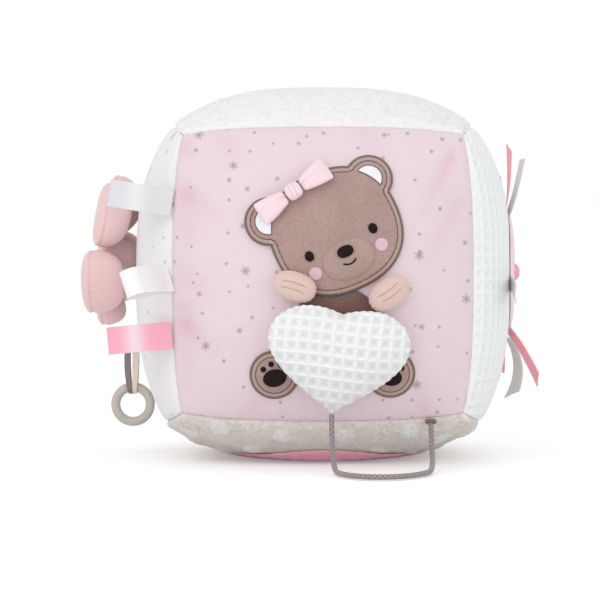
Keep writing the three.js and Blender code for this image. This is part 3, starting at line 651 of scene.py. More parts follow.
# %% [markdown]
# # Waffle weave
# The right side and the heart are waffle cloth: square cells with raised walls and a hollow that falls to a
# point. Real cells could be cut into the mesh one by one, but a formula that repeats gives them all at once,
# and the same formula serves both pieces. It also gives each point a share that paints the hollow darker:
# painted shade.

# %% Waffle weave
WAFFLE_PITCH, WAFFLE_DEPTH = 5.6, 0.8


def waffle_relief(a, b, deep, pitch):
    """Waffle weave: each cell is a hollow pyramid, the lesser of two tents, and each tent is 1 - 2 |x / pitch
    - round(x / pitch)|. Returns how far a point sinks, and its share, which the material uses to paint the
    hollow darker as shade."""
    tents = [1 - 2 * np.abs(x / pitch - np.round(x / pitch)) for x in (a, b)]
    hollow = np.clip(1.25 * np.minimum(*tents) - 0.06, 0, 1) ** 0.85
    return deep * hollow, hollow


def waffle_cells(a, b, clear, seed):
    """The waffle weave of the right panel, which fades out before the seam."""
    deep, hollow = waffle_relief(a, b, WAFFLE_DEPTH, WAFFLE_PITCH)
    return deep * clear, {"fold": a * 0, "hollow": hollow * clear}


print("waffle cells to a decimetre:", round(100 / WAFFLE_PITCH))

# %% [markdown]
# # Sherpa and minky
# The top is curly sherpa and the underside is minky with raised dots. Hair particles would be true to
# both, but thousands of hairs make a heavy model. Random heights make curls that cast real shadows,
# and rows of round caps make the dots.

# %% Sherpa and minky
CURL_RISE = 0.8
DOT_STEP, DOT_ROW, DOT_RADIUS = 28.1, 14.0, 4.8  # from dot to dot, and from row to row
DOT_START = (17.8, 62)  # moves the pattern across the panel
DOT_RISE, MINKY_PILE = 0.8, 0.7


def curls(a, b):
    """The curly pile of sherpa: rounded tufts of two sizes, each where a random height crosses its
    middle, 1 - |2 height - 1|. A third random height bends their lines."""
    warp = 1.2 * noise(a / 3, b / 3, 5)
    large = 1 - np.abs(2 * noise(a / 1.9 + warp, b / 1.9 - warp, 1) - 1)
    small = 1 - np.abs(2 * noise(a / 1.0, b / 1.0, 2) - 1)
    return large * 0.7 + small * 0.3


def sherpa_curls(a, b, clear, seed):
    """Curls that stand half above the cloth and half below it. The hollow mask paints the low parts between
    them darker: painted shade.
    """
    pile = curls(a, b)
    return -((CURL_RISE * pile - CURL_RISE / 2) * clear), {"fold": a * 0, "hollow": (0.75 - pile) * 1.4}


def dots(a, b):
    """Rows of raised round dots, each row moved half a step along: 1 on a dot, falling with the square
    of the distance to 0 between them."""
    row = np.round((b + DOT_START[1]) / DOT_ROW)
    offset = (a + DOT_START[0] + np.where(row % 2 == 0, 0, DOT_STEP / 2)) / DOT_STEP
    across = (offset - np.round(offset)) * DOT_STEP
    return np.clip(1 - (np.hypot(across, b + DOT_START[1] - row * DOT_ROW) / DOT_RADIUS) ** 2, 0, 1)


def minky_dots(a, b, clear, seed):
    """Round dots on a short uneven pile, both only where the base patch doesn't cover them. The dot mask
    paints the raised dots and the tops of the pile lighter: a painted highlight.
    """
    free = np.hypot(a, b) > BASE_RADIUS + 2
    raised = dots(a, b) * free
    pile = curls(a * 1.2, b * 1.2)
    rise = (DOT_RISE * np.sqrt(raised) + MINKY_PILE * (pile - 0.3) * free) * clear
    return -rise, {"fold": a * 0, "dot": 0.75 * raised ** 0.5 + 0.6 * (pile - 0.4)}


print("minky dots:", DOT_STEP, "mm apart")

# %% [markdown]
# # The six panels
# Each panel is cut, padded and sewn to four others. Right at a seam the cloth rolls in, and the
# thread pulls it into small puckers. Each is one slab here: the outer side is the face with its
# relief, and the inner side is the same face COVER below it. Neighbours don't share points, because
# real panels don't share cloth either, and the thin gap between them is the seam.

# %% Panels
ROLL = (1.5, 4.5)  # how deep the cloth rolls into a seam, and from how far
PUCKER = 0.32  # how deep the thread pulls it in
SEAM_GAP = 0.09  # from a panel's edge to the middle of the seam
PANELS = {  # axis and side, points along an edge, look, relief, and how far from a seam it is whole
    "front_panel": (Y, -1, 150, "pink_plush", front_folds, 3),
    "back_panel": (Y, 1, 100, "pink_plush", slow_dents, 3),
    "left_panel": (X, -1, 130, "white_plush", slow_dents, 3),
    "right_panel": (X, 1, 250, "waffle", waffle_cells, 3),
    "top_panel": (Z, 1, 250, "sherpa", sherpa_curls, 0.8),
    "bottom_panel": (Z, -1, 220, "minky", minky_dots, 0.8)}


def seam_relief(axis, s, t, a, b, seed):
    """How far the cloth sinks near its seams: a quarter round along each, joined at the corners by the
    cube root of the sum of cubes, and a sine wave along the seam for puckers, which fades inwards."""
    p, q = other_axes(axis)
    to_p, to_q = (1 - np.abs(s)) * CORNER[p], (1 - np.abs(t)) * CORNER[q]
    rolls = [1 - rounded(d / ROLL[1]) for d in (to_p, to_q)]
    sink = ROLL[0] * (rolls[0] ** 3 + rolls[1] ** 3) ** (1 / 3)
    for d, along in ((to_p, b), (to_q, a)):
        wave = 0.5 + 0.5 * np.sin(along / 1.25 + 9 * noise(along / 17, along * 0 + seed, seed))
        near = (1 - np.exp(-d / 1.5)) * np.exp(-d / 4.5) * 2
        sink += PUCKER * wave * noise(along / 9, along * 0, seed + 7) * near
    return sink


def panel(name, axis, sign, count, look, relief, margin, seed):
    """A slab between a face that its relief moves and the same face COVER deeper."""
    p, q = other_axes(axis)
    share = [(2 * np.linspace(0, 1, count) - 1) * (1 - SEAM_GAP / CORNER[k]) for k in (p, q)]
    s, t = np.meshgrid(*share, indexing="ij")
    plain = face_point(axis, sign, s, t, np.zeros_like(s))
    a, b = plain[..., p], plain[..., q]
    edge = np.minimum(1 - np.abs(s), 1 - np.abs(t)) * CORNER[p]
    seam = seam_relief(axis, s, t, a, b, seed)
    sink, masks = relief(a, b, np.clip(edge / margin, 0, 1), seed)
    top = face_point(axis, sign, s, t, seam + sink)
    bottom = face_point(axis, sign, s, t, COVER + seam)
    points, faces = slab(top, bottom)
    flat = np.concatenate([np.stack([a, b], -1).reshape(-1, 2)] * 2)
    masks = {key: np.concatenate([value.ravel()] * 2) for key, value in masks.items()}
    return make(name, points, faces, "block", [name], look, flat=flat, masks=masks)


for seed, (name, values) in enumerate(PANELS.items(), 11):
    panel(name, *values, seed)
print("panels:", len(PANELS))

# %% [markdown]
# # The filling
# Loose fibre fills the cube and touches every panel from inside. It could be a plain ball, but a ball
# leaves the corners empty. It is one closed body inside the panels instead: six grids a little below
# the faces, whose edges fall together, so that equal points can be merged.

# %% Filling
FILLING_DEPTH = COVER + 1.9
count = 24
s, t = np.meshgrid(np.linspace(-1, 1, count), np.linspace(-1, 1, count), indexing="ij")
grids, sides = [], []
for axis, sign, *_ in PANELS.values():
    grids.append(face_point(axis, sign, s, t, np.full_like(s, FILLING_DEPTH)).reshape(-1, 3))
    face = quads(count, count)
    outward = (sign > 0) == (axis != Y)
    sides.append((face if outward else face[:, ::-1]) + len(sides) * count * count)
kept, merged = np.unique(np.round(np.concatenate(grids), 3), axis=0, return_inverse=True)
faces = [merged.ravel()[np.concatenate(sides)]]
make("filling", kept, faces, "block", ["core_stuffing"], "filling")
print("filling:", len(kept), "points")

# %% [markdown]
# # The base patch
# The block stands on a large round patch of coral satin, padded in its middle, where it lies flat on
# the floor, and sewn down at a thin rim. A flat disc would cut into the rounded underside, so the
# patch follows that face: rings round its middle, each a height over the face. Satin gathers a little
# where it is sewn on, so fine waves run in from the rim.

# %% Base patch
BASE_THICKNESS, BASE_EDGE = 4.0, 1.2
BASE_RINGS, BASE_POINTS, GATHERS = 60, 480, 42

share = to_rim(BASE_RINGS)[:, None]
angle = spin(BASE_POINTS)
gather = 0.5 + 0.5 * np.sin(angle * GATHERS + 3 * noise(angle * 5, angle * 0, 4))
uneven = noise(angle * 8 / math.pi, angle * 0, 21) * np.sin(angle / 2) ** 2
reach = BASE_RADIUS * (1 - 0.012 * gather - 0.02 * uneven)
out = np.clip(2 * share - 1, 0, 1)
rim = np.clip((1 - share) * 26, 0, 1)
tall = BASE_EDGE * (0.35 + 0.65 * rounded(rim)) + (BASE_THICKNESS - BASE_EDGE) * (1 - out ** 3)
tall = FIT + tall - 0.35 * gather * out ** 4 * rim
ring = reach * np.stack([np.cos(angle), np.sin(angle)])
top = over_face(Z, -1, share * ring[0], share * ring[1], tall)
inner = np.linspace(1, 0.1, 14)[:, None]
foot = over_face(Z, -1, inner * ring[0], inner * ring[1], 2 * FIT + 0 * inner * ring[0])
zero = np.array(0.0)
ends = [over_face(Z, -1, zero, zero, lift) for lift in (FIT + BASE_THICKNESS, 2 * FIT)]
points, faces = polar(np.concatenate([top, foot]), *ends)
make("base_patch", points, faces, "block", ["base_patch"], "coral_satin", flat=points[:, :2])
print("base patch: radius", round(float(reach.max()), 1), "mm")

# %% [markdown]
# # Applique
# The bear's head, body and feet are cut from short fur fabric, padded, and sewn on all round. That
# gives a low rim that satin stitches hold down, with a gentle swell inside it. Each could be a curve
# with a thickness and a bevel, but then its middle would be flat and the face under it isn't. So each
# is a polar body: rings of its outline, from the middle out, at a height over the face.

# %% Applique


def swell_over(outline, edge, swell):
    """The height of a padded applique over its face: a rounded rim, then a swell 1 - share^4."""
    size = float(np.hypot(*outline.T).mean())

    def over(a, b):
        """FIT, plus the rim of height edge, plus the swell."""
        share = np.minimum(share_in(outline, a, b), 1)
        return FIT + edge * (0.35 + 0.65 * rounded((1 - share) * size / 1.6)) + swell * (1 - share ** 4)

    return over


def applique(name, place, outline, over, look, rings, slot_name=None, pucker=0.1):
    """A padded shape sewn flat on a face. over gives its height, a small wave near the rim puckers it,
    and the underside follows the face."""
    share = to_rim(rings)[:, None, None]
    up = outline[None] * share
    down = outline[None] * np.linspace(1, 0.1, 12)[:, None, None]
    wave = pucker * np.sin(np.arange(len(outline)) * 2 * math.pi / len(outline) * round(len(outline) / 7))
    near = np.clip((share[..., 0] - 0.8) * 5, 0, 1) * (1 - share[..., 0] ** 30)
    top = place(up[..., 0], up[..., 1], over(up[..., 0], up[..., 1]) + wave * near)
    foot = place(down[..., 0], down[..., 1], np.full(down.shape[:2], FIT))
    centre = np.zeros(1)
    ends = [place(centre, centre, over(centre, centre))[0], place(centre, centre, centre + FIT)[0]]
    points, faces = polar(np.concatenate([top, foot]), *ends)
    flat = np.concatenate([np.concatenate([up, down]).reshape(-1, 2), [[0, 0], [0, 0]]])
    masks = {"fold": np.zeros(len(points))}
    return make(name, points, faces, "block", [name], look, slot_name, flat, masks)


print("an applique starts", FIT, "mm over its face")

# %% [markdown]
# # Satin stitches
# The edge of each applique is held by close stitches that lie side by side like the threads of a rope.
# A picture of thread would look painted on. A narrow band follows the outline instead, half an oval
# in section, and rises and falls once for each thread.

# %% Satin stitches
STITCH_PITCH, THREAD_STEPS = 0.8, 5  # one thread, and points along each
BAND_SINK, BAND_BACK = 0.12, 0.05  # how deep a band lies in the cloth, and how thick its back is


def stitches(name, middle, outline, offset, width, height, over, look, closed=True):
    """A band of satin stitches along an outline: half an oval in section, narrower and lower between
    threads by a cosine, and tapered where it is open."""
    length = np.linalg.norm(np.diff(outline, axis=0), axis=1).sum()
    count = int(length / STITCH_PITCH) * THREAD_STEPS
    line = resample(outline, count, closed)
    run = np.roll(line, -1, 0) - np.roll(line, 1, 0) if closed else np.gradient(line, axis=0)
    run = run / np.linalg.norm(run, axis=1)[:, None]
    inward = np.stack([-run[:, 1], run[:, 0]], -1)
    thread = 0.5 + 0.5 * np.cos(np.arange(count) / THREAD_STEPS * 2 * math.pi)
    across = np.linspace(0, math.pi, 9)
    x = np.cos(across) * (width / 2) * (0.88 + 0.12 * thread[:, None])
    z = np.sin(across) ** 0.8 * height * (0.5 + 0.5 * thread[:, None])
    if not closed:
        to_end = np.minimum(np.arange(count), np.arange(count)[::-1])
        taper = np.sqrt(np.clip(to_end / 5 + 0.02, 0, 1))[:, None]
        x, z = x * taper, z * taper
    at = line[:, None] + inward[:, None] * (x + offset)[..., None]
    base = over(at[..., 0], at[..., 1]) - BAND_SINK
    place = on_front(middle)
    upper = place(at[..., 0], at[..., 1], base + z)
    lower = place(at[:, 1:-1, 0], at[:, 1:-1, 1], base[:, 1:-1] - BAND_BACK)[:, ::-1]
    ring = np.concatenate([upper, lower], 1)
    if closed:
        points, faces = ring.reshape(-1, 3), [quads(*ring.shape[:2], wrap_rows=True, wrap_columns=True)]
    else:
        points, faces = polar(ring, ring[0].mean(0), ring[-1].mean(0))
    # The gaps mask paints brown and tan thread darker between threads, painted shade, and makes the line
    # thread paler there.
    gaps = np.broadcast_to((1 - thread)[:, None] ** 2, ring.shape[:2]).ravel()
    gaps = np.append(gaps, np.zeros(len(points) - len(gaps)))
    return make(name, points, faces, "block", None, look, "thread", masks={"hollow": gaps})


def stitched_rows(name, middle, outline, over, rows):
    """Several bands round one piece: each row has a name, an offset, a width, a height and a look."""
    for row, offset, width, height, look in rows:
        stitches(f"{name}_{row}_stitch", middle, outline, offset, width, height, over, look)


print("threads to a centimetre:", 10 / STITCH_PITCH)

# %% [markdown]
# # Domes of thread
# Eyes, nose, cheeks, soles and toes are filled with thread, side by side in one direction, and stand
# up from the cloth a little. Each is a low dome over an outline, with a fine ridge for each thread.

# %% Domes of thread
DOME_LIFT, DOME_SINK = 0.3, 0.28  # how a patch of thread sits on the cloth below
RIDGE_PITCH = 0.45  # of the threads in a dome


def dome(name, middle, spot, outline, over, height, look, nodes, ridge=0.0, slot_name=None, turn=0):
    """A thin raised patch at a spot of another piece. In section it is an oval, sqrt(1 - 0.9 share^2),
    less |sin| ridges of thread that run across it."""
    share = to_rim(14)[:, None, None]
    up = outline[None] * share
    spot = np.array(spot)
    x, y = up[..., 0] + spot[0], up[..., 1] + spot[1]
    across = turned(up, -turn)[..., 0]
    tall = height * np.sqrt(1 - 0.9 * share[..., 0] ** 2)
    tall = tall - ridge * np.abs(np.sin(across * math.pi / RIDGE_PITCH))
    place = on_front(middle)
    top = place(x, y, over(x, y) + DOME_LIFT + tall)
    foot = place(x[-1:], y[-1:], over(x[-1:], y[-1:]) + DOME_LIFT - DOME_SINK)
    at = spot[:, None]
    base = over(at[0], at[1]) + DOME_LIFT
    ends = [place(at[0], at[1], base + height)[0], place(at[0], at[1], base - DOME_SINK)[0]]
    points, faces = polar(np.concatenate([top, foot]), *ends)
    flat = np.concatenate([np.stack([x, y], -1).reshape(-1, 2), np.stack([x[-1], y[-1]], -1), [spot, spot]])
    return make(name, points, faces, "block", nodes, look, slot_name, flat, {"fold": np.zeros(len(points))})


print("ridges to a centimetre:", round(10 / RIDGE_PITCH))

# %% [markdown]
# # The bear's head
# The head has a round ear on each side with a white inner ear, a pale muzzle, and a plain embroidered
# face: two round eyes, an oval nose, a short smile and two blushed cheeks. One outline could be drawn
# point by point, but an oval and two circles are easier to set: on each ray from the middle the
# furthest of the three counts. The head leans to one side, so places on it are given upright and then
# turned.

# %% Head
HEAD_AT, HEAD_TURN, HEAD_EDGE, HEAD_SWELL = (5.6, 18.7), 24, 1.5, 2.5
HEAD_HALF, SKULL_HALF, HEAD_POWER = (28.8, 27.2), (27.4, 25.8), 2.35  # the oval, and one just inside it
EARS = ((29.5, 58), (27.0, -56))  # distance from the middle of the head, and turn from upright
EAR_RADIUS, INNER_EAR_RADIUS = 10.6, 5.6
# Rows of stitches: offset inwards, width, height and look
HEAD_ROWS = (("edge", 0.5, 1.2, 0.45, "brown_thread"), ("rim", 1.75, 1.35, 0.22, "tan_thread"),
             ("line", 2.75, 0.6, 0.3, "line_thread"))


def circle_reach(middle, radius, angle):
    """How far a ray from the centre runs until it leaves a circle, and 0 where it misses it: the
    distance along the ray beside the circle's middle, plus the other leg of the right triangle."""
    out = np.hypot(*middle)
    off = angle - math.atan2(middle[1], middle[0])
    under = radius ** 2 - (out * np.sin(off)) ** 2
    return np.where((under > 0) & (np.cos(off) > 0), out * np.cos(off) + np.sqrt(np.maximum(under, 0)), 0)


def ear_middle(reach, turn):
    """The middle of an ear from its distance and its turn from upright."""
    return (-reach * math.sin(math.radians(turn)), reach * math.cos(math.radians(turn)))


def on_head(x, y):
    """A place on the upright head, turned as the head is."""
    return turned(np.array([x, y], float), HEAD_TURN)


def head_outline():
    """A rounded oval joined with two round ears: on each ray the furthest of the three counts."""
    shape = oval(*HEAD_HALF, HEAD_POWER, 3000)
    angle = np.arctan2(shape[:, 1], shape[:, 0])
    reach = np.hypot(*shape.T)
    for ear in EARS:
        reach = np.maximum(reach, circle_reach(ear_middle(*ear), EAR_RADIUS, angle))
    shape = np.stack([reach * np.cos(angle), reach * np.sin(angle)], -1)
    return turned(resample(shape, 460), HEAD_TURN)


head = head_outline()
head_over = swell_over(head, HEAD_EDGE, HEAD_SWELL)
applique("bear_head", on_front(HEAD_AT), head, head_over, "fur", rings=60)
stitched_rows("head", HEAD_AT, head, head_over, HEAD_ROWS)
skull = turned(oval(*SKULL_HALF, HEAD_POWER, 1440), HEAD_TURN)


def half_moon(middle):
    """A round patch whose lower part is tucked under the head: those points move out to the head's oval."""
    points = oval(INNER_EAR_RADIUS, INNER_EAR_RADIUS, 2, 400) + middle
    share = share_in(skull, points[:, 0], points[:, 1])
    return resample(points / np.minimum(share, 1)[:, None], 120)


for name, ear in zip(("inner_ear_left", "inner_ear_right"), EARS):
    patch = half_moon(on_head(*ear_middle(*ear)))
    centre = patch.mean(0)
    dome(name, HEAD_AT, centre, patch - centre, head_over, 0.5, "ear_plush", [name], slot_name="white_plush")
    stitches(name + "_stitch", HEAD_AT, patch, 0, 1.0, 0.65, head_over, "line_thread")
print("head: outline", round(float(np.ptp(head[:, 0])), 1), "x", round(float(np.ptp(head[:, 1])), 1), "mm")

# %% [markdown]
# # The bear's face
# The muzzle is a padded oval of paler fur, and the rest is thread. Paint on a flat face would do from
# far away, but stitches stand up from the cloth and catch the light, so each is a low dome of thread.

# %% Face
MUZZLE_STEP, MUZZLE_SWELL = 0.6, 1.6

muzzle = turned(oval(11.5, 8.4, 2.2, 160), HEAD_TURN)
muzzle_at = on_head(0, -13.5)


def muzzle_over(a, b):
    """The height of the muzzle: the head, plus a step that rounds off at the rim, plus a swell."""
    share = np.minimum(share_in(muzzle, a - muzzle_at[0], b - muzzle_at[1]), 1)
    step = MUZZLE_STEP * np.sqrt(1 - 0.7 * share ** 8)
    return head_over(a, b) + FIT + step + MUZZLE_SWELL * (1 - share ** 2)


def muzzle_cloth(a, b):
    """The height that the muzzle's cloth starts from: its top less the step."""
    return muzzle_over(a, b) - MUZZLE_STEP


dome("muzzle_patch", HEAD_AT, muzzle_at, muzzle, muzzle_cloth, 0.01, "pale_fur", ["muzzle"])
nose = turned(oval(3.6, 2.5, 2.4, 64), HEAD_TURN)
dome("nose_stitching", HEAD_AT, on_head(0, -9.8), nose, muzzle_over, 0.9, "thread", ["nose"], ridge=0.1,
     turn=HEAD_TURN)
eye = turned(oval(1.95, 2.3, 2, 64), HEAD_TURN)
cheek = oval(2.8, 2.8, 2, 64)
for side, sign in (("left", -1), ("right", 1)):
    dome(f"eye_{side}", HEAD_AT, on_head(sign * 15.0, -5.5), eye, head_over, 0.9, "thread", [f"eye_{side}"],
         ridge=0.1, turn=HEAD_TURN)
    dome(f"cheek_{side}", HEAD_AT, on_head(sign * 15.6, -13.4), cheek, head_over, 0.3, "blush", None,
         ridge=0.1, slot_name="thread", turn=HEAD_TURN)
smile = np.linspace(-1, 1, 30)
smile = turned(np.stack([3.2 * smile, -15.6 + 1.4 * smile ** 2], -1), HEAD_TURN)
stitches("smile_stitch", HEAD_AT, smile, 0, 0.75, 0.5, muzzle_over, "thread", closed=False)
print("face: muzzle", round(float(np.ptp(muzzle[:, 0])), 1), "mm wide")

# %% [markdown]
# # The bear's body and feet
# The body is a darker copy of the head's fur, painted shade for where it lies between the head and the heart,
# and it ends where the head and the feet begin. A full oval under them would show through their thin rims, so
# its outline is found ray by ray: it stops at the first place that belongs to another piece. The feet show
# plain oval soles with three toe dots.

# %% Body and feet
BODY_AT = (6, -25.5)
FEET_AT = ((-21.3, -44.1), (29.6, -43.6))
FOOT_ROOM = 11.1  # the body stays this far from the middle of a foot
FOOT = oval(10.8, 10.8, 2, 300)
FOOT_LEAN = 14
FOOT_ROWS = (("edge", 0.55, 1.3, 0.45, "brown_thread"), ("rim", 1.8, 1.2, 0.22, "tan_thread"),
             ("line", 2.7, 0.6, 0.3, "line_thread"))
TOES = ((-3.9, 3.6), (0, 5.0), (3.9, 3.6))


def body_outline():
    """The body's oval, cut back on each ray to the last point clear of the head and both feet."""
    shape = oval(19.5, 20, 2.2, 720)
    ray = np.linspace(0, 1, 300)[:, None]
    x, y = shape[:, 0] * ray + BODY_AT[0], shape[:, 1] * ray + BODY_AT[1]
    clear = share_in(head, x - HEAD_AT[0], y - HEAD_AT[1]) > 1.012
    for foot in FEET_AT:
        clear &= np.hypot(x - foot[0], y - foot[1]) > FOOT_ROOM
    last = np.where(clear.all(0), 1.0, ray[np.argmin(clear, 0), 0])
    return resample(shape * last[:, None], 330)


torso = body_outline()
torso_over = swell_over(torso, edge=1.3, swell=1.5)
applique("bear_body", on_front(BODY_AT), torso, torso_over, "shaded_fur", rings=40, slot_name="fur")
stitched_rows("body", BODY_AT, torso, torso_over, (("edge", 0.6, 1.2, 0.45, "brown_thread"),))
foot_over = swell_over(FOOT, edge=1.2, swell=1.6)
for side, middle, lean in (("left", FEET_AT[0], FOOT_LEAN), ("right", FEET_AT[1], -FOOT_LEAN)):
    applique(f"foot_{side}", on_front(middle), FOOT, foot_over, "fur", rings=30)
    stitched_rows(f"foot_{side}", middle, FOOT, foot_over, FOOT_ROWS)
    sole = turned(oval(5.2, 3.9, 2, 96), lean)
    low = turned(np.array([0.0, -1.3]), lean)
    dome(f"sole_{side}", middle, low, sole, foot_over, 0.5, "thread", [f"sole_{side}"], ridge=0.07, turn=lean)
    for toe, place in enumerate(TOES, 1):
        spot = turned(np.array(place), lean)
        dome(f"toe_{side}_{toe}", middle, spot, oval(1.25, 1.25, 2, 32), foot_over, 0.4, "thread", None,
             ridge=0.07)
print("body:", round(float(np.ptp(torso[:, 0])), 1), "mm wide, and two feet")

# %% [markdown]
# # Pillows
# Paws, bow, heart and petals are stuffed: two bulging halves that meet in a sewn rim, which draws in a little
# all round. Blown-up cloth would lose the heart's outline, so a pillow is a formula. A half is steep at the
# rim and level in the middle, slow lumps show the filling under the cloth, and grooves are sunk into the
# upper half.

# %% Pillows
RIM_FADE, WAVE_FADE = 0.9, 2.2  # how high over the rim its draw and its puckers reach


def flat_cloth(a, b, s):
    """No relief: nothing sinks, and the mask is 0."""
    return a * 0, a * 0


def even(a):
    """The same thickness all along."""
    return 1


def pillow(name, outline, place, look, nodes, body, back, thickness, share, blunt, rings, relief,
           back_rings=14, groove=0.6, power=0.55, slot_name=None, puckers=0.0, swell=even):
    """Two bulging halves over an outline, from back on, of which a share lies behind the rim. A half rises
    from the rim by (1 - s ** blunt) ** power, where s is the share of the way out. The rim draws in by
    groove, relief sinks the upper half, and swell scales the height along the piece."""
    size = float(np.hypot(*outline.T).mean())
    seam = back + share * thickness
    waves = np.sin(spin(len(outline)) * round(len(outline) / 9))
    halves, fold = [], []
    for half, side, steps in (((1 - share) * thickness, 1, rings), (share * thickness, -1, back_rings)):
        s = to_rim(steps)
        rising = half * np.maximum(0, 1 - s ** blunt) ** power
        drawn = 1 - groove / size * np.exp(-(rising / RIM_FADE) ** 2)
        wave = puckers * waves * np.exp(-(rising / WAVE_FADE) ** 2)[:, None]
        up = outline[None] * (s * drawn)[:, None, None] * (1 + wave / size)[..., None]
        sunk, mask = (relief if side > 0 else flat_cloth)(up[..., 0], up[..., 1], s[:, None])
        sunk = sunk * np.clip(rising[:, None] / 1.5, 0, 1)
        height = seam + (side * rising[:, None] - sunk) * swell(up[..., 0])
        halves.append(np.concatenate([up, height[..., None]], -1))
        fold.append(mask)
    rows = np.concatenate([halves[0], halves[1][-2::-1]])
    masks = np.concatenate([fold[0], fold[1][-2::-1]]).ravel()
    sunk = float(relief(np.zeros(1), np.zeros(1), np.zeros(1))[0][0])
    top, bottom = ((1 - share) * thickness - sunk) * swell(0), share * thickness * swell(0)
    local, faces = polar(rows, (0, 0, seam + top), (0, 0, seam - bottom))
    points = place(local[:, 0], local[:, 1], local[:, 2])
    masks = np.append(masks, masks[:2] * 0)
    # The relief's mask goes to fold and hollow; the materials that read it paint grooves, folds and hollows
    # darker: painted shade.
    kinds = {"fold": masks, "hollow": masks}
    return make(name, points, faces, body, nodes, look, slot_name, local[:, :2], kinds)


def layered(*sinks):
    """Adds up several reliefs: each is a function that gives a depth and a mask."""
    return lambda a, b, s: tuple(sum(part) for part in zip(*(one(a, b, s) for one in sinks)))


def lumps(a, b, s):
    """Loose filling: slow random heights under the cloth, which fade towards the rim."""
    return 0.5 * (noise(a / 9 + 40, b / 9 + 40, 3) - 0.3) * (1 - s ** 4), a * 0


print("a lump sinks by", round(float(lumps(0.0, 0.0, 0.0)[0]), 2), "mm at the middle")

# %% [markdown]
# # The paws
# Two velour paws reach over the heart, each with two sewn lines that mark the fingers. They are sewn
# on at one end only and can be lifted, so each rides on a body of its own.

# %% Paws
PAWS = (("left", (-12.2, -5.4), 162), ("right", (28.5, -8.4), 35))  # place and turn
PAW_LINES = (-1.6, 1.2)


def paw_seams(turn):
    """Two sewn lines along a paw, each a narrow groove exp(-(distance / 0.3)^2) that bends a little."""

    def sink(a, b, s):
        """The grooves of one paw, on its upright places."""
        x, y = unturned(a, b, turn)
        line = sum(np.exp(-((y - off - 0.02 * x * x) / 0.3) ** 2) for off in PAW_LINES)
        line = line * np.clip((6 - np.abs(x - 0.5)) / 1.5, 0, 1)
        # The mask paints the grooves darker: painted shade.
        return 0.45 * line, 0.75 * line

    return sink


for side, middle, turn in PAWS:
    name = f"paw_{side}"
    shape = turned(resample(oval(9.9, 6.6, 2.3), 200), turn)
    pillow(name, shape, on_front(middle), "peach", [name], name, back=2.5, thickness=9.6, share=0.4,
           blunt=2.4, rings=60, relief=layered(paw_seams(turn), lumps), puckers=0.12)
print("paws:", len(PAWS))

# %% [markdown]
# # The bow
# A bow is a flat tube of cloth with a band round its middle. Folds run out from the band and fade
# towards the wide ends. Bent sheets would need their folds drawn one by one, so the loops are low
# pillows with those folds as grooves along rays from the knot, and the knot is a fuller one with
# creases across.

# %% Bow
BOW_AT, BOW_TURN, HEAD_TOP = (-12.7, 35.8), 36, 4.6
LOOP_LENGTH, KNOT_HALF, KNOT_GAP = 14.6, 3.7, 0.15
BOW_FOLDS = ((-0.55, 0.5), (0.4, 1.0))  # place across the loop, and share of the depth


def bow_outline(side):
    """From the knot to the wide end: the half width grows as a quarter of a sine, and half an oval of
    cosines rounds off the end."""
    u = np.linspace(0, 1, 60)
    half = 3 + 2.7 * np.sin(u * math.pi / 2)
    half = half * np.clip((1 - u) / 0.05, 0, 1) ** 0.35 * np.clip(0.72 + u * 6, 0, 1)
    end = 0.5 * np.cos(np.linspace(-math.pi / 2, math.pi / 2, 20))
    upper = np.stack([(u - 0.5) * LOOP_LENGTH, half], -1)
    lower = upper[::-1] * (1, -1)
    across = np.stack([LOOP_LENGTH / 2 + end, np.linspace(0.6, -0.6, 20)], -1)
    shape = np.concatenate([upper, across, lower])[::-1] * (side, 1)
    return turned(resample(shape if side > 0 else shape[::-1], 260), BOW_TURN)


def bow_folds(side):
    """Folds that run out from the knot, deepest beside it: grooves along rays from the knot."""

    def sink(a, b, s):
        """A bell curve across each ray, times a fade exp(-2.6 way out)."""
        x, y = unturned(a, b, BOW_TURN)
        out = (side * x + LOOP_LENGTH / 2) / LOOP_LENGTH
        ray = y / (1.2 + 3.2 * np.clip(out, 0, 1))
        lines = sum(deep * np.exp(-((ray - at) / 0.24) ** 2) for at, deep in BOW_FOLDS)
        fade = np.exp(-np.clip(out, 0, 2) * 2.6)
        # The mask paints the folds darker: painted shade.
        return 0.8 * lines * fade, 0.7 * lines * fade

    return sink


def creases(a, b, s):
    """The band of the knot is gathered: two soft creases across it."""
    x, y = unturned(a, b, BOW_TURN)
    lines = sum(np.exp(-((x - at - 0.15 * y) / 0.3) ** 2) for at in (-1.3, 0.9))
    # The mask paints the creases darker: painted shade.
    return 0.35 * lines, 0.8 * lines


for name, side in (("bow_loop_left", -1), ("bow_loop_right", 1)):
    shift = turned(np.array([side * (KNOT_HALF + KNOT_GAP + LOOP_LENGTH / 2), 0.0]), BOW_TURN)
    pillow(name, bow_outline(side), on_front(np.add(BOW_AT, shift)), "pink_satin", [name], "block",
           back=HEAD_TOP, thickness=4.4, share=0.3, blunt=2.2, rings=50, relief=bow_folds(side), groove=0.3)
knot = turned(resample(oval(KNOT_HALF, 3.9, 3.2), 160), BOW_TURN)
pillow("bow_knot", knot, on_front(BOW_AT), "pink_satin", ["bow_knot"], "block", back=HEAD_TOP,
       thickness=5.4, share=0.35, blunt=2.6, rings=40, relief=creases, groove=0.2)
print("bow: two loops of", LOOP_LENGTH, "mm")

# %% [markdown]
# # The heart
# The heart is a fuller pillow of white waffle cloth. Its outline could be traced, but a few waves
# make a clean one: the half width is a sine times its own size, and the height is four cosines. It
# can be pulled away from the block, so it rides on a body of its own. The weave waves a little,
# because the cloth is stretched over the filling.

# %% Heart
HEART_AT, HEART_TURN = (6.2, -37.6), -6
HEART_SIZE = (62, 46.5)
HEART_COSINES = (13, -2.7, -0.9, -0.45)
HEART_WAFFLE = (1.7, 5.0)  # depth and pitch


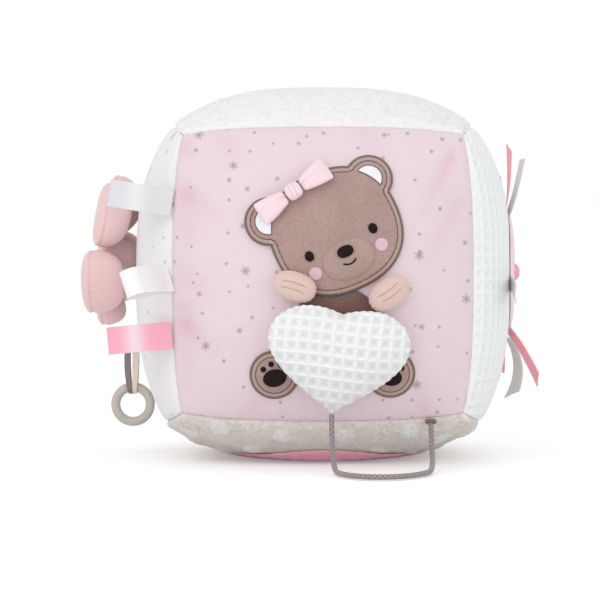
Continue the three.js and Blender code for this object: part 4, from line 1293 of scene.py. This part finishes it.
def heart_outline(count):
    """Half width sin t |sin t|, and a height made of four cosines, scaled to HEART_SIZE."""
    t = spin(2000)
    up = sum(wave * np.cos((k + 1) * t) for k, wave in enumerate(HEART_COSINES))
    up = (up - (up.max() + up.min()) / 2) / np.ptp(up) * HEART_SIZE[1]
    shape = np.stack([HEART_SIZE[0] / 2 * np.sin(t) * np.abs(np.sin(t)), up], -1)
    return turned(resample(shape[::-1], count), HEART_TURN)


def heart_waffle(a, b, s):
    """The waffle weave on the leaning heart, with its rows bent by a slow sine. Its mask paints the hollows
    darker: painted shade.
    """
    x, y = unturned(a, b, HEART_TURN)
    deep, hollow = waffle_relief(x + 0.35 * np.sin(y / 6), y + 0.35 * np.sin(x / 7), *HEART_WAFFLE)
    return deep, 0.9 * hollow


pillow("stuffed_heart", heart_outline(460), on_front(HEART_AT), "heart_waffle", ["heart"], "heart",
       back=4.1, thickness=17.8, share=0.33, blunt=2.5, rings=130, back_rings=24,
       relief=layered(heart_waffle, lumps), groove=0.7, puckers=0.25, slot_name="waffle")
print("heart:", *HEART_SIZE, "mm")

# %% [markdown]
# # The cord
# A braided cord ties the heart to the lower front seam, and its slack lies on the floor. A curve with a round
# bevel would be smooth like wire, so this is a tube of rings carried along a smooth path. Its surface rises
# and falls as two sets of strands cross.

# %% Cord
CORD_RADIUS, BRAID_PITCH = 1.2, 4.4
# From the heart's point down to the floor, round, and up to the seam: millimetres above the floor
CORD_POINTS = ((3.8, -84.5, 25.3), (3.8, -84.5, 21.5), (3.9, -84.7, 15.5), (4.2, -85.6, 9), (4.8, -88.4, 4),
               (5.6, -93.8, 1.6), (7.4, -101.6, 1.35), (11.6, -109.4, 1.35), (18.8, -114.8, 1.35),
               (27, -115.4, 1.35), (35, -111.6, 1.35), (41.2, -104.6, 1.35), (45.2, -96.6, 1.35),
               (47.1, -88.8, 1.9), (47.9, -82.2, 4.6), (48, -77.3, 8.9), (48, -73.7, 13.4), (48, -71, 17.1),
               (48, -68.8, 19.65))


def smooth_path(points, count):
    """A line through the points that turns evenly between them: each piece blends the slopes at its ends."""
    points = np.array(points, float)
    step = np.sqrt(np.linalg.norm(np.diff(points, axis=0), axis=1))
    at = np.concatenate([[0], np.cumsum(step)])
    slope = np.gradient(points, at, axis=0)
    where = np.linspace(0, at[-1], 4000)
    k = np.clip(np.searchsorted(at, where, side="right") - 1, 0, len(step) - 1)
    u = ((where - at[k]) / step[k])[:, None]
    h = step[k][:, None]
    line = ((2 * u ** 3 - 3 * u ** 2 + 1) * points[k] + (u ** 3 - 2 * u ** 2 + u) * h * slope[k]
            + (3 * u ** 2 - 2 * u ** 3) * points[k + 1] + (u ** 3 - u ** 2) * h * slope[k + 1])
    return resample(line, count, closed=False)


def carried_frames(path):
    """Two directions across a path at each station, carried along it so that they never spin: the last
    one less its part along the path."""
    run = np.gradient(path, axis=0)
    run /= np.linalg.norm(run, axis=1)[:, None]
    side = np.cross(run[0], (0.3, 1.0, 0.2))
    sides = []
    for direction in run:
        side = side - direction * (side @ direction)
        side = side / np.linalg.norm(side)
        sides.append(side)
    sides = np.array(sides)
    return sides, np.cross(run, sides)


path = smooth_path(CORD_POINTS, 1100)
cord_length = float(np.linalg.norm(np.diff(path, axis=0), axis=1).sum())
first_side, second_side = carried_frames(path)
turn = spin(24)
along = np.linspace(0, cord_length, len(path))[:, None]
strands = [np.abs(np.sin(2 * turn + sign * along * 2 * math.pi / BRAID_PITCH)) for sign in (1, -1)]
strand = np.maximum(*strands)
radius = CORD_RADIUS * (0.88 + 0.12 * strand)
ring = path[:, None] + radius[..., None] * (np.cos(turn)[None, :, None] * first_side[:, None]
                                            + np.sin(turn)[None, :, None] * second_side[:, None])
points, faces = polar(ring - (0, 0, STAND), path[0] - (0, 0, STAND), path[-1] - (0, 0, STAND))
# The hollow mask paints the dips between the strands darker: painted shade.
cord = make("pull_cord", points, faces, None, ["pull_cord"], "braid",
            masks={"hollow": np.append(np.clip((0.94 - strand) * 4, 0, 1).ravel(), [0, 0])})
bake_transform(cord)
print("cord:", round(cord_length, 1), "mm")

# %% [markdown]
# # The stitched bar
# The cord's end is held in the seam by a bar of close stitches, sewn over it many times. It is a small
# dome on the edge of the block, tilted half way between front and underside, with a ridge for each
# thread.

# %% Stitched bar
BAR_AT = 48  # along the lower seam, from its middle
BAR_HALF = (2.6, 1.5)
BAR_FOOT, BAR_TOP = 0.3, 1.8  # heights over the seam

corner = face_point(Y, -1, np.array(BAR_AT / CORNER[X]), np.array(-1.0), np.array(0.0))
out, up = np.array([0, -1, -1]) / math.sqrt(2), np.array([0, -1, 1]) / math.sqrt(2)
share = np.linspace(0, 1, 13)[1:, None]
outline = resample(oval(*BAR_HALF, 3), 120)
xy = outline[None] * share[..., None]
tall = 0.6 + 1.2 * np.sqrt(1 - 0.9 * share ** 2) - 0.12 * np.abs(np.sin(xy[..., 0] * math.pi / RIDGE_PITCH))
rings = np.concatenate([xy, tall[..., None]], -1)
rings = np.concatenate([rings, [np.concatenate([outline, np.full((len(outline), 1), BAR_FOOT)], -1)]])
tilted = corner + rings @ np.array([(1, 0, 0), up, out])
points, faces = polar(tilted, corner + BAR_TOP * out, corner + BAR_FOOT * out)
make("cord_tack", points, faces, "block", ["cord_tack"], "brown_thread", "thread")
print("bar:", 2 * BAR_HALF[0], "mm wide")

# %% [markdown]
# # Ribbons
# Every ribbon is a thin slab that follows a line, with woven edges a little thicker than its middle.
# A flat curve would have the same thickness all over and couldn't roll its edges, so the slab is built
# from the line and the directions across it.

# %% Ribbons
SATIN = 0.5  # thickness


def loop_line(length, gap, root, spare):
    """A ribbon's loop seen on its edge. It leaves the root flat, opens as an S curve, which is a blend of
    four points by the powers of u, and turns in half a circle. spare is the length held in the seam."""
    reach, middle = length - gap / 2 - 0.6, gap / 2 + 0.3
    u = np.linspace(0, 1, 60)[:, None]
    held = np.array([[0, 0.3], [root * length * 1.4, 0.3], [reach * 0.45, middle], [reach, middle]])
    out = ((1 - u) ** 3 * held[0] + 3 * u * (1 - u) ** 2 * held[1] + 3 * u ** 2 * (1 - u) * held[2]
           + u ** 3 * held[3])
    angle = np.linspace(math.pi / 2, -math.pi / 2, 40)[1:-1]
    bend = np.stack([reach + middle * np.cos(angle), middle * np.sin(angle)], -1)
    start = np.array([[-spare, 0.3]])
    line = np.concatenate([start, out, bend, out[::-1] * (1, -1), start * (1, -1)])
    return resample(line, 170, closed=False)


def ribbon(name, line, width, place, look, nodes, slot_name=None, cut=0.0, cup=0.0, painted_highlight=None, wide=None,
           twist=0.0):
    """A slab along a flat line of points, as wide as the ribbon. cut slants its end, cup rolls its edges, and
    the highlight place is where along it a lighter band of colour is painted, a painted highlight that stands
    in for satin turned to the light. wide moves points across it. twist turns it round its line, by twist
    times the square root of the way along, and its inner edge stays low."""
    run = np.gradient(line, axis=0)
    run /= np.linalg.norm(run, axis=1)[:, None]
    normal = np.stack([-run[:, 1], run[:, 0]], -1)
    across = np.linspace(-0.5, 0.5, 15)
    length = float(np.linalg.norm(np.diff(line, axis=0), axis=1).sum())
    rows = np.linspace(0, 1, len(line))[:, None] * (1 - cut * (across + 0.5) / length)[None]
    at = rows * (len(line) - 1)
    low = np.minimum(at.astype(int), len(line) - 2)
    part = (at - low)[..., None]
    middle = line[low] * (1 - part) + line[low + 1] * part
    lean = normal[low] * (1 - part) + normal[low + 1] * part
    breadth = np.broadcast_to(across * width, rows.shape)
    turn = math.radians(twist) * np.sqrt(rows)
    rise = (0, 1) * (breadth * np.sin(turn) + width / 2 * np.abs(np.sin(turn)))[..., None]
    over = wide(rows, breadth) if wide else breadth * np.cos(turn)
    sides = []
    for half in (0.5, -0.5):
        thick = half * SATIN * (1 + 0.3 * np.exp(-((0.5 - np.abs(across)) * width / 0.5) ** 2))
        lift = thick + cup * (4 * across ** 2) * np.clip(rows * 3, 0, 1)
        sides.append(np.concatenate([middle + lean * lift[..., None] + rise, over[..., None]], -1))
    points, faces = slab(*sides)
    flat = np.concatenate([np.stack([rows * length, breadth], -1).reshape(-1, 2)] * 2)
    # A lighter band of colour round the given place along the ribbon: a painted highlight where the satin
    # would turn to the light.
    shine = {} if painted_highlight is None else {"painted_highlight": np.exp(-((flat[:, 0] - painted_highlight) / 4.5) ** 2)}
    return make(name, place(points), faces, None, nodes, look, slot_name, flat, shine, sharp=50)


def framed(origin, x_axis, y_axis, z_axis):
    """A function that turns local points into space: an origin, plus each place along its own axis."""
    return lambda local: np.asarray(origin) + local @ np.array([x_axis, y_axis, z_axis])


print("ribbon:", SATIN, "mm thick")

# %% [markdown]
# # Ribbon loops in the seam
# Three folded ribbons stand in the left front seam. The line of each runs out, turns round and comes back,
# and both ends are held in the seam.

# %% Ribbon loops in the seam
TAG_WIDTH = 12
TAGS = (("tag_grey", 31.8, 27.5, 5.2, 0, -9, 0, "grey_satin"),  # height, length, gap, yaw, pitch, roll
        ("tag_white", -2.2, 26, 8.4, 48, 5, 20, "white_satin"),
        ("tag_pink", -27.2, 27.5, 5.2, 0, 5.5, 0, "rose_satin"))

for name, height, length, gap, yaw, pitch, roll, look in TAGS:
    seam = face_point(X, -1, np.array(-1.0), np.array(height / CORNER[Z]), np.array(0.0))
    origin = seam + np.array([-1, -1, 0]) / math.sqrt(2) * 0.9
    yaw, pitch, roll = math.radians(yaw), math.radians(pitch), math.radians(roll)
    outward = np.array([-math.cos(yaw), -math.sin(yaw), 0])
    side = np.array([math.sin(yaw), -math.cos(yaw), 0])
    upright = np.array([0, 0, 1.0])
    y_axis = side * math.cos(roll) + upright * math.sin(roll)
    rolled = upright * math.cos(roll) - side * math.sin(roll)
    x_axis = outward * math.cos(pitch) - rolled * math.sin(pitch)
    z_axis = outward * math.sin(pitch) + rolled * math.cos(pitch)
    line = loop_line(length, gap, root=0.14, spare=1.1)
    # Each tag gets its painted highlight 16.5 mm along its line.
    tag = ribbon(name, line, TAG_WIDTH, framed(origin, x_axis, y_axis, z_axis), look, [name], painted_highlight=16.5)
    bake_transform(tag)

# %% [markdown]
# # The flower
# Five velour petals stand round a stuffed centre on the left side. Each petal is a pillow with its seam
# all round the rim, narrower and thinner towards the middle of the flower, where the cloth is
# gathered. One petal copied round would look stamped, so they differ in cup, thickness and size.

# %% Flower
FLOWER = over_face(X, -1, np.array(0.0), np.array(9.0), 0)
FLOWER_AXES = np.array([[0, -1, 0], [0, 0, 1], [-1, 0, 0]], float)  # across, up, and out of the side
PETAL_LENGTH, PETAL_HALF = 31.5, 23.5
PETAL_ROOT, PETAL_LIFT = 8.3, 13.5  # where a petal starts: from the middle, and over the side
FIRST_PETAL = -26  # its turn in degrees
LOWER_HALF = 1.1  # the second petal is this much wider on one side
# cup in degrees, thickness, how much of it lies behind, share of length and of width
PETALS = ((0, 23, 11.5, 1, 0.86), (-18, 19, 7.5, 0.9, 0.98), (-20, 18, 7.25, 1, 1), (-20, 18, 7.25, 1, 1),
          (-4, 16, 7.25, 0.8, 0.74))

angle = spin(1000)
petal_shape = resample(np.stack([PETAL_LENGTH / 2 * np.cos(angle),
                                 PETAL_HALF * np.sin(angle) * (0.7 + 0.3 * np.cos(angle))], -1), 260)


def petal_folds(a, b, s):
    """The cloth is gathered towards the flower's middle: three short folds there, each a groove that
    runs towards the middle and fades on its way out."""
    root = np.clip((2 - a) / 16, 0, 1)
    spread = 0.45 + 0.55 * np.clip((a + 16) / 20, 0, 1)
    lines = sum(np.exp(-((b - at * spread) / 1.0) ** 2) for at in (-6, 0.5, 6.5))
    # The mask paints the folds darker: painted shade.
    return 1.5 * lines * root, 0.5 * lines * root


def petal_swell(a):
    """A petal is thinner at its root: its height grows evenly along it."""
    return 0.62 + 0.38 * (a / PETAL_LENGTH + 0.5)


def petal_place(root, axes):
    """Puts a petal in space: a function from places on it, whose root is its own origin."""
    return lambda a, b, height: root + np.stack([a + PETAL_LENGTH / 2, b, height], -1) @ axes


for index, (cup, thickness, low, long, wide) in enumerate(PETALS):
    psi, tilt = math.radians(FIRST_PETAL + 72 * index), math.radians(cup)
    along = FLOWER_AXES[0] * math.cos(psi) + FLOWER_AXES[1] * math.sin(psi)
    side = -FLOWER_AXES[0] * math.sin(psi) + FLOWER_AXES[1] * math.cos(psi)
    axes = np.array([along * math.cos(tilt) + FLOWER_AXES[2] * math.sin(tilt), side,
                     -along * math.sin(tilt) + FLOWER_AXES[2] * math.cos(tilt)])
    root = FLOWER + along * PETAL_ROOT + FLOWER_AXES[2] * PETAL_LIFT
    name = f"petal_{index + 1}"
    shape = petal_shape * (long, wide) + ((long - 1) * PETAL_LENGTH / 2, 0)
    if name == "petal_2":
        shape[:, 1] *= np.where(shape[:, 1] < 0, LOWER_HALF, 1)
    pillow(name, shape, petal_place(root, axes), "velour", [name], name, back=-low, thickness=thickness,
           share=0.74, blunt=3.4, rings=40, back_rings=30, relief=petal_folds, groove=0.8, power=0.5,
           puckers=0.15, swell=petal_swell)


def flower_place(a, b, height):
    """Places round the flower's middle, in space."""
    return FLOWER + np.stack([a, b, height], -1) @ FLOWER_AXES


# The centre wears the paler velour: painted light for the shade between the petals.
pillow("flower_centre", resample(oval(8, 8), 160), flower_place, "lightened_velour_centre", ["flower_centre"],
       "block", back=0.3, thickness=20, share=0.66, blunt=2.4, rings=30, relief=lumps, power=0.5,
       puckers=0.15, slot_name="peach")
print("flower:", len(PETALS), "petals")

# %% [markdown]
# # The ring and its ribbon
# The teething ring is one smooth tube with a faint line outside, where the two halves of the mould met.
# It hangs in a folded ribbon, which draws together where it goes through the ring. It is drawn as two strips
# side by side on one line, a taupe one and a paler cream one.

# %% Ring and its ribbon
RING_AT = np.array([-91.4, 0, -54.3])  # the top of the ring, in the middle of its tube
RING_RADIUS, RING_TUBE = 8.3, 2.2
RIBBON_TOP = 26.8  # above the ring
STRIPS = (("ring_ribbon", 2.8, -1.6, "taupe_ribbon"), ("ring_ribbon_cream", 3.0, 1.5, "cream_ribbon"))

u, v = np.meshgrid(spin(160), spin(40), indexing="ij")
tube = RING_TUBE * (1 + 0.012 * np.exp(-(np.sin(v) / 0.12) ** 2) * (np.cos(v) > 0))
reach = RING_RADIUS + tube * np.cos(v)
points = np.stack([reach * np.cos(u), tube * np.sin(v), reach * np.sin(u)], -1)
points = RING_AT + (0, 0, -RING_RADIUS) + points
make("teething_ring", points, [quads(160, 40, True, True)], "teething_ring", ["teething_ring"], "ring_rubber")


def gathered(centre):
    """The ribbon is widest at its two ends and draws together where it goes through the ring."""

    def wide(rows, breadth):
        """Places across, less a share that grows with the third power of the nearness to the ring."""
        near = 1 - np.abs(2 * rows - 1)
        return (breadth + centre) * (1 - 0.45 * near ** 3) - 1.1 * np.sin(near * math.pi) * (centre < 0)

    return wide


line = loop_line(RIBBON_TOP + 3.35, gap=5.5, root=0.2, spare=1.2) - (RIBBON_TOP, 0)
hang = framed(RING_AT, (0, 0, -1), (0, 1, 0), (1, 0, 0))
top = RING_AT + (0, 0, RIBBON_TOP)
for name, width, centre, look in STRIPS:
    strip = ribbon(name, line, width, hang, look, ["ring_ribbon"], slot_name="taupe_ribbon",
                   wide=gathered(centre))
    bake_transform(strip)
print("ring:", 2 * (RING_RADIUS + RING_TUBE), "mm across")

# %% [markdown]
# # The rosette
# On the right side a round of satin is gathered to its middle and held by a stuffed button, so fine
# folds run from there to the rim. The folds could be modelled one by one, but a wave round the middle
# does it, with a noise that makes it uneven. The round is sewn down as the bear is, so it is made by
# the same function.

# %% Rosette
ROSETTE_AT, ROSETTE_RADIUS = (0, 1), 31


def on_right(a, b, lift):
    """Places round the rosette's middle, at a height over the right side."""
    return over_face(X, 1, ROSETTE_AT[0] + a, ROSETTE_AT[1] + b, lift)


def rosette_over(a, b):
    """A low swell with radial gathers: a wave round the middle that deepens towards the rim."""
    share = np.minimum(np.hypot(a, b) / ROSETTE_RADIUS, 1)
    angle = np.arctan2(b, a)
    wave = 0.5 + 0.5 * np.sin(angle * 44 + 2.5 * noise(angle * 3, angle * 0, 9))
    rim = np.clip((1 - share) * 12, 0, 1)
    height = FIT + 1.2 * (0.4 + 0.6 * rounded(rim)) + 1.0 * (1 - share ** 4)
    return height - 0.55 * wave * np.clip(share * 1.6 - 0.15, 0, 1) * rim ** 0.5


def button_gathers(a, b, s):
    """Fourteen gathers round the button, deepest at its rim."""
    wave = 0.5 + 0.5 * np.cos(np.arctan2(b, a) * 14)
    return 0.3 * wave * s ** 1.5, a * 0


disc = oval(ROSETTE_RADIUS, ROSETTE_RADIUS, 2, 528)
applique("rosette_disc", on_right, disc, rosette_over, "pink_satin", rings=40, pucker=0)
pillow("rosette_button", resample(oval(4.2, 4.2), 168), on_right, "rose_satin", ["rosette_button"],
       "block", back=2.8, thickness=3.3, share=0.1, blunt=2.4, rings=26, relief=button_gathers, groove=0.2,
       power=0.5)
print("rosette:", 2 * ROSETTE_RADIUS, "mm across")

# %% [markdown]
# # The ribbon tails
# Eight single ribbons stand out round the rosette, cut at a slant. Each leaves the side at a lean of
# its own and curls on its way, which is a line whose direction turns evenly. Some also twist, so that
# they show their flat side to the camera.

# %% Ribbon tails
# place round the rosette, lean, curl and twist in degrees
TAILS = ((8, 12, -6, 22, "rose_satin"), (28, 20, -6, -6, "warm_satin"), (100, 13, -8, 0, "warm_satin"),
         (152, 34, -8, 12, "rose_satin"), (175, 36, -62, 42, "warm_satin"), (213, 12, -6, 0, "rose_satin"),
         (265, 12, -6, 0, "warm_satin"), (318, 12, -6, 0, "rose_satin"))
TAIL_LENGTH, TAIL_WIDTH, TAIL_STEPS, TAIL_CUT = 30.4, 7, 60, 4.0
TAIL_START, TAIL_LIFT = ROSETTE_RADIUS + 0.7, 0.6


def tail_place(turn, radius):
    """A place beside the rosette, turn radians round from upright."""
    return on_right(np.array(-radius * math.sin(turn)), np.array(radius * math.cos(turn)), TAIL_LIFT)


for index, (turn, lean, curl, twist, look) in enumerate(TAILS, 1):
    turn, lean, curl = (math.radians(v) for v in (turn, lean, curl))
    root = tail_place(turn, TAIL_START)
    along = tail_place(turn, TAIL_START + 3.5) - root
    along /= np.linalg.norm(along)
    outward = np.cross(along, (0, -math.cos(turn), -math.sin(turn)))
    outward /= np.linalg.norm(outward)
    angle = lean + curl * np.linspace(0, 1, TAIL_STEPS + 1)
    step = np.stack([np.cos(angle), np.sin(angle)], -1)[:-1] * TAIL_LENGTH / TAIL_STEPS
    line = np.concatenate([[[-0.4, 0]], np.cumsum(step, 0) - (0.4, 0)])
    name = f"ribbon_tail_{index}"
    place = framed(root, along, outward, np.cross(along, outward))
    shade = "tail_rose" if look == "rose_satin" else look
    tail = ribbon(name, line, TAIL_WIDTH, place, shade, [name], slot_name=look, cut=TAIL_CUT, cup=0.35,
                  twist=twist)
    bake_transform(tail)
print("tails:", len(TAILS))

# %% [markdown]
# # Floor and light
# The block stands on a plain white floor. One hard lamp would leave black hollows between the petals,
# so a large soft lamp in front and above gives the shape, a weaker one fills the other side, a low one
# reaches under the ribbon loops, and an even pale surrounding lights every hollow. The background
# that the camera sees is plain white, and the floor glows a little for the camera alone, to match it.

# %% Stage
FLOOR_SIZE, FLOOR_GLOW = 6.0, 0.26
SURROUND = 0.82

bpy.ops.mesh.primitive_plane_add(size=FLOOR_SIZE, location=(0, 1.0, -0.0003))
floor = bpy.context.object
floor.name = "floor"
paper = bpy.data.materials.new("floor")
paper.use_nodes = True
tree = paper.node_tree
shader = tree.nodes["Principled BSDF"]
shader.inputs["Base Color"].default_value = srgb(246, 246, 246)
shader.inputs["Roughness"].default_value = 1.0
shader.inputs["Specular IOR Level"].default_value = 0.0
shader.inputs["Emission Color"].default_value = (1, 1, 1, 1)
seen = node(tree, "ShaderNodeLightPath").outputs["Is Camera Ray"]
tree.links.new(calc(tree, "MULTIPLY", seen, FLOOR_GLOW), shader.inputs["Emission Strength"])
floor.data.materials.append(paper)

scene.world = bpy.data.worlds.new("world")
scene.world.use_nodes = True
tree = scene.world.node_tree
background = tree.nodes["Background"]
background.inputs["Color"].default_value = (1, 1, 1, 1)
rays = node(tree, "ShaderNodeLightPath").outputs
seen = calc(tree, "MAXIMUM", rays["Is Camera Ray"], rays["Is Transmission Ray"])
strength = calc(tree, "ADD", calc(tree, "MULTIPLY", seen, 1 - SURROUND), SURROUND)
tree.links.new(strength, background.inputs["Strength"])


def lamp(name, place, power, size, target=(0, 0, 0.09)):
    """A square soft lamp that looks at a target: its tilt from straight down is the angle between the
    upright and its way there, and its turn is the direction of that way on the floor."""
    light = bpy.data.lights.new(name, "AREA")
    light.energy, light.size = power, size
    made = bpy.data.objects.new(name, light)
    scene.collection.objects.link(made)
    made.location = place
    away = np.subtract(place, target)
    tilt = math.acos(away[2] / np.linalg.norm(away))
    made.rotation_euler = (tilt, 0, math.atan2(away[1], away[0]) + math.pi / 2)


lamp("key lamp", (-0.75, -1.0, 1.0), power=2.7, size=0.8)
lamp("fill lamp", (0.9, -1.1, 0.3), power=1.6, size=0.9)
lamp("low lamp", (-0.35, -1.2, 0.06), power=1.7, size=0.5, target=(-0.05, 0, 0.05))
scene.view_settings.view_transform = "Standard"
print("lamps:", len(bpy.data.lights))
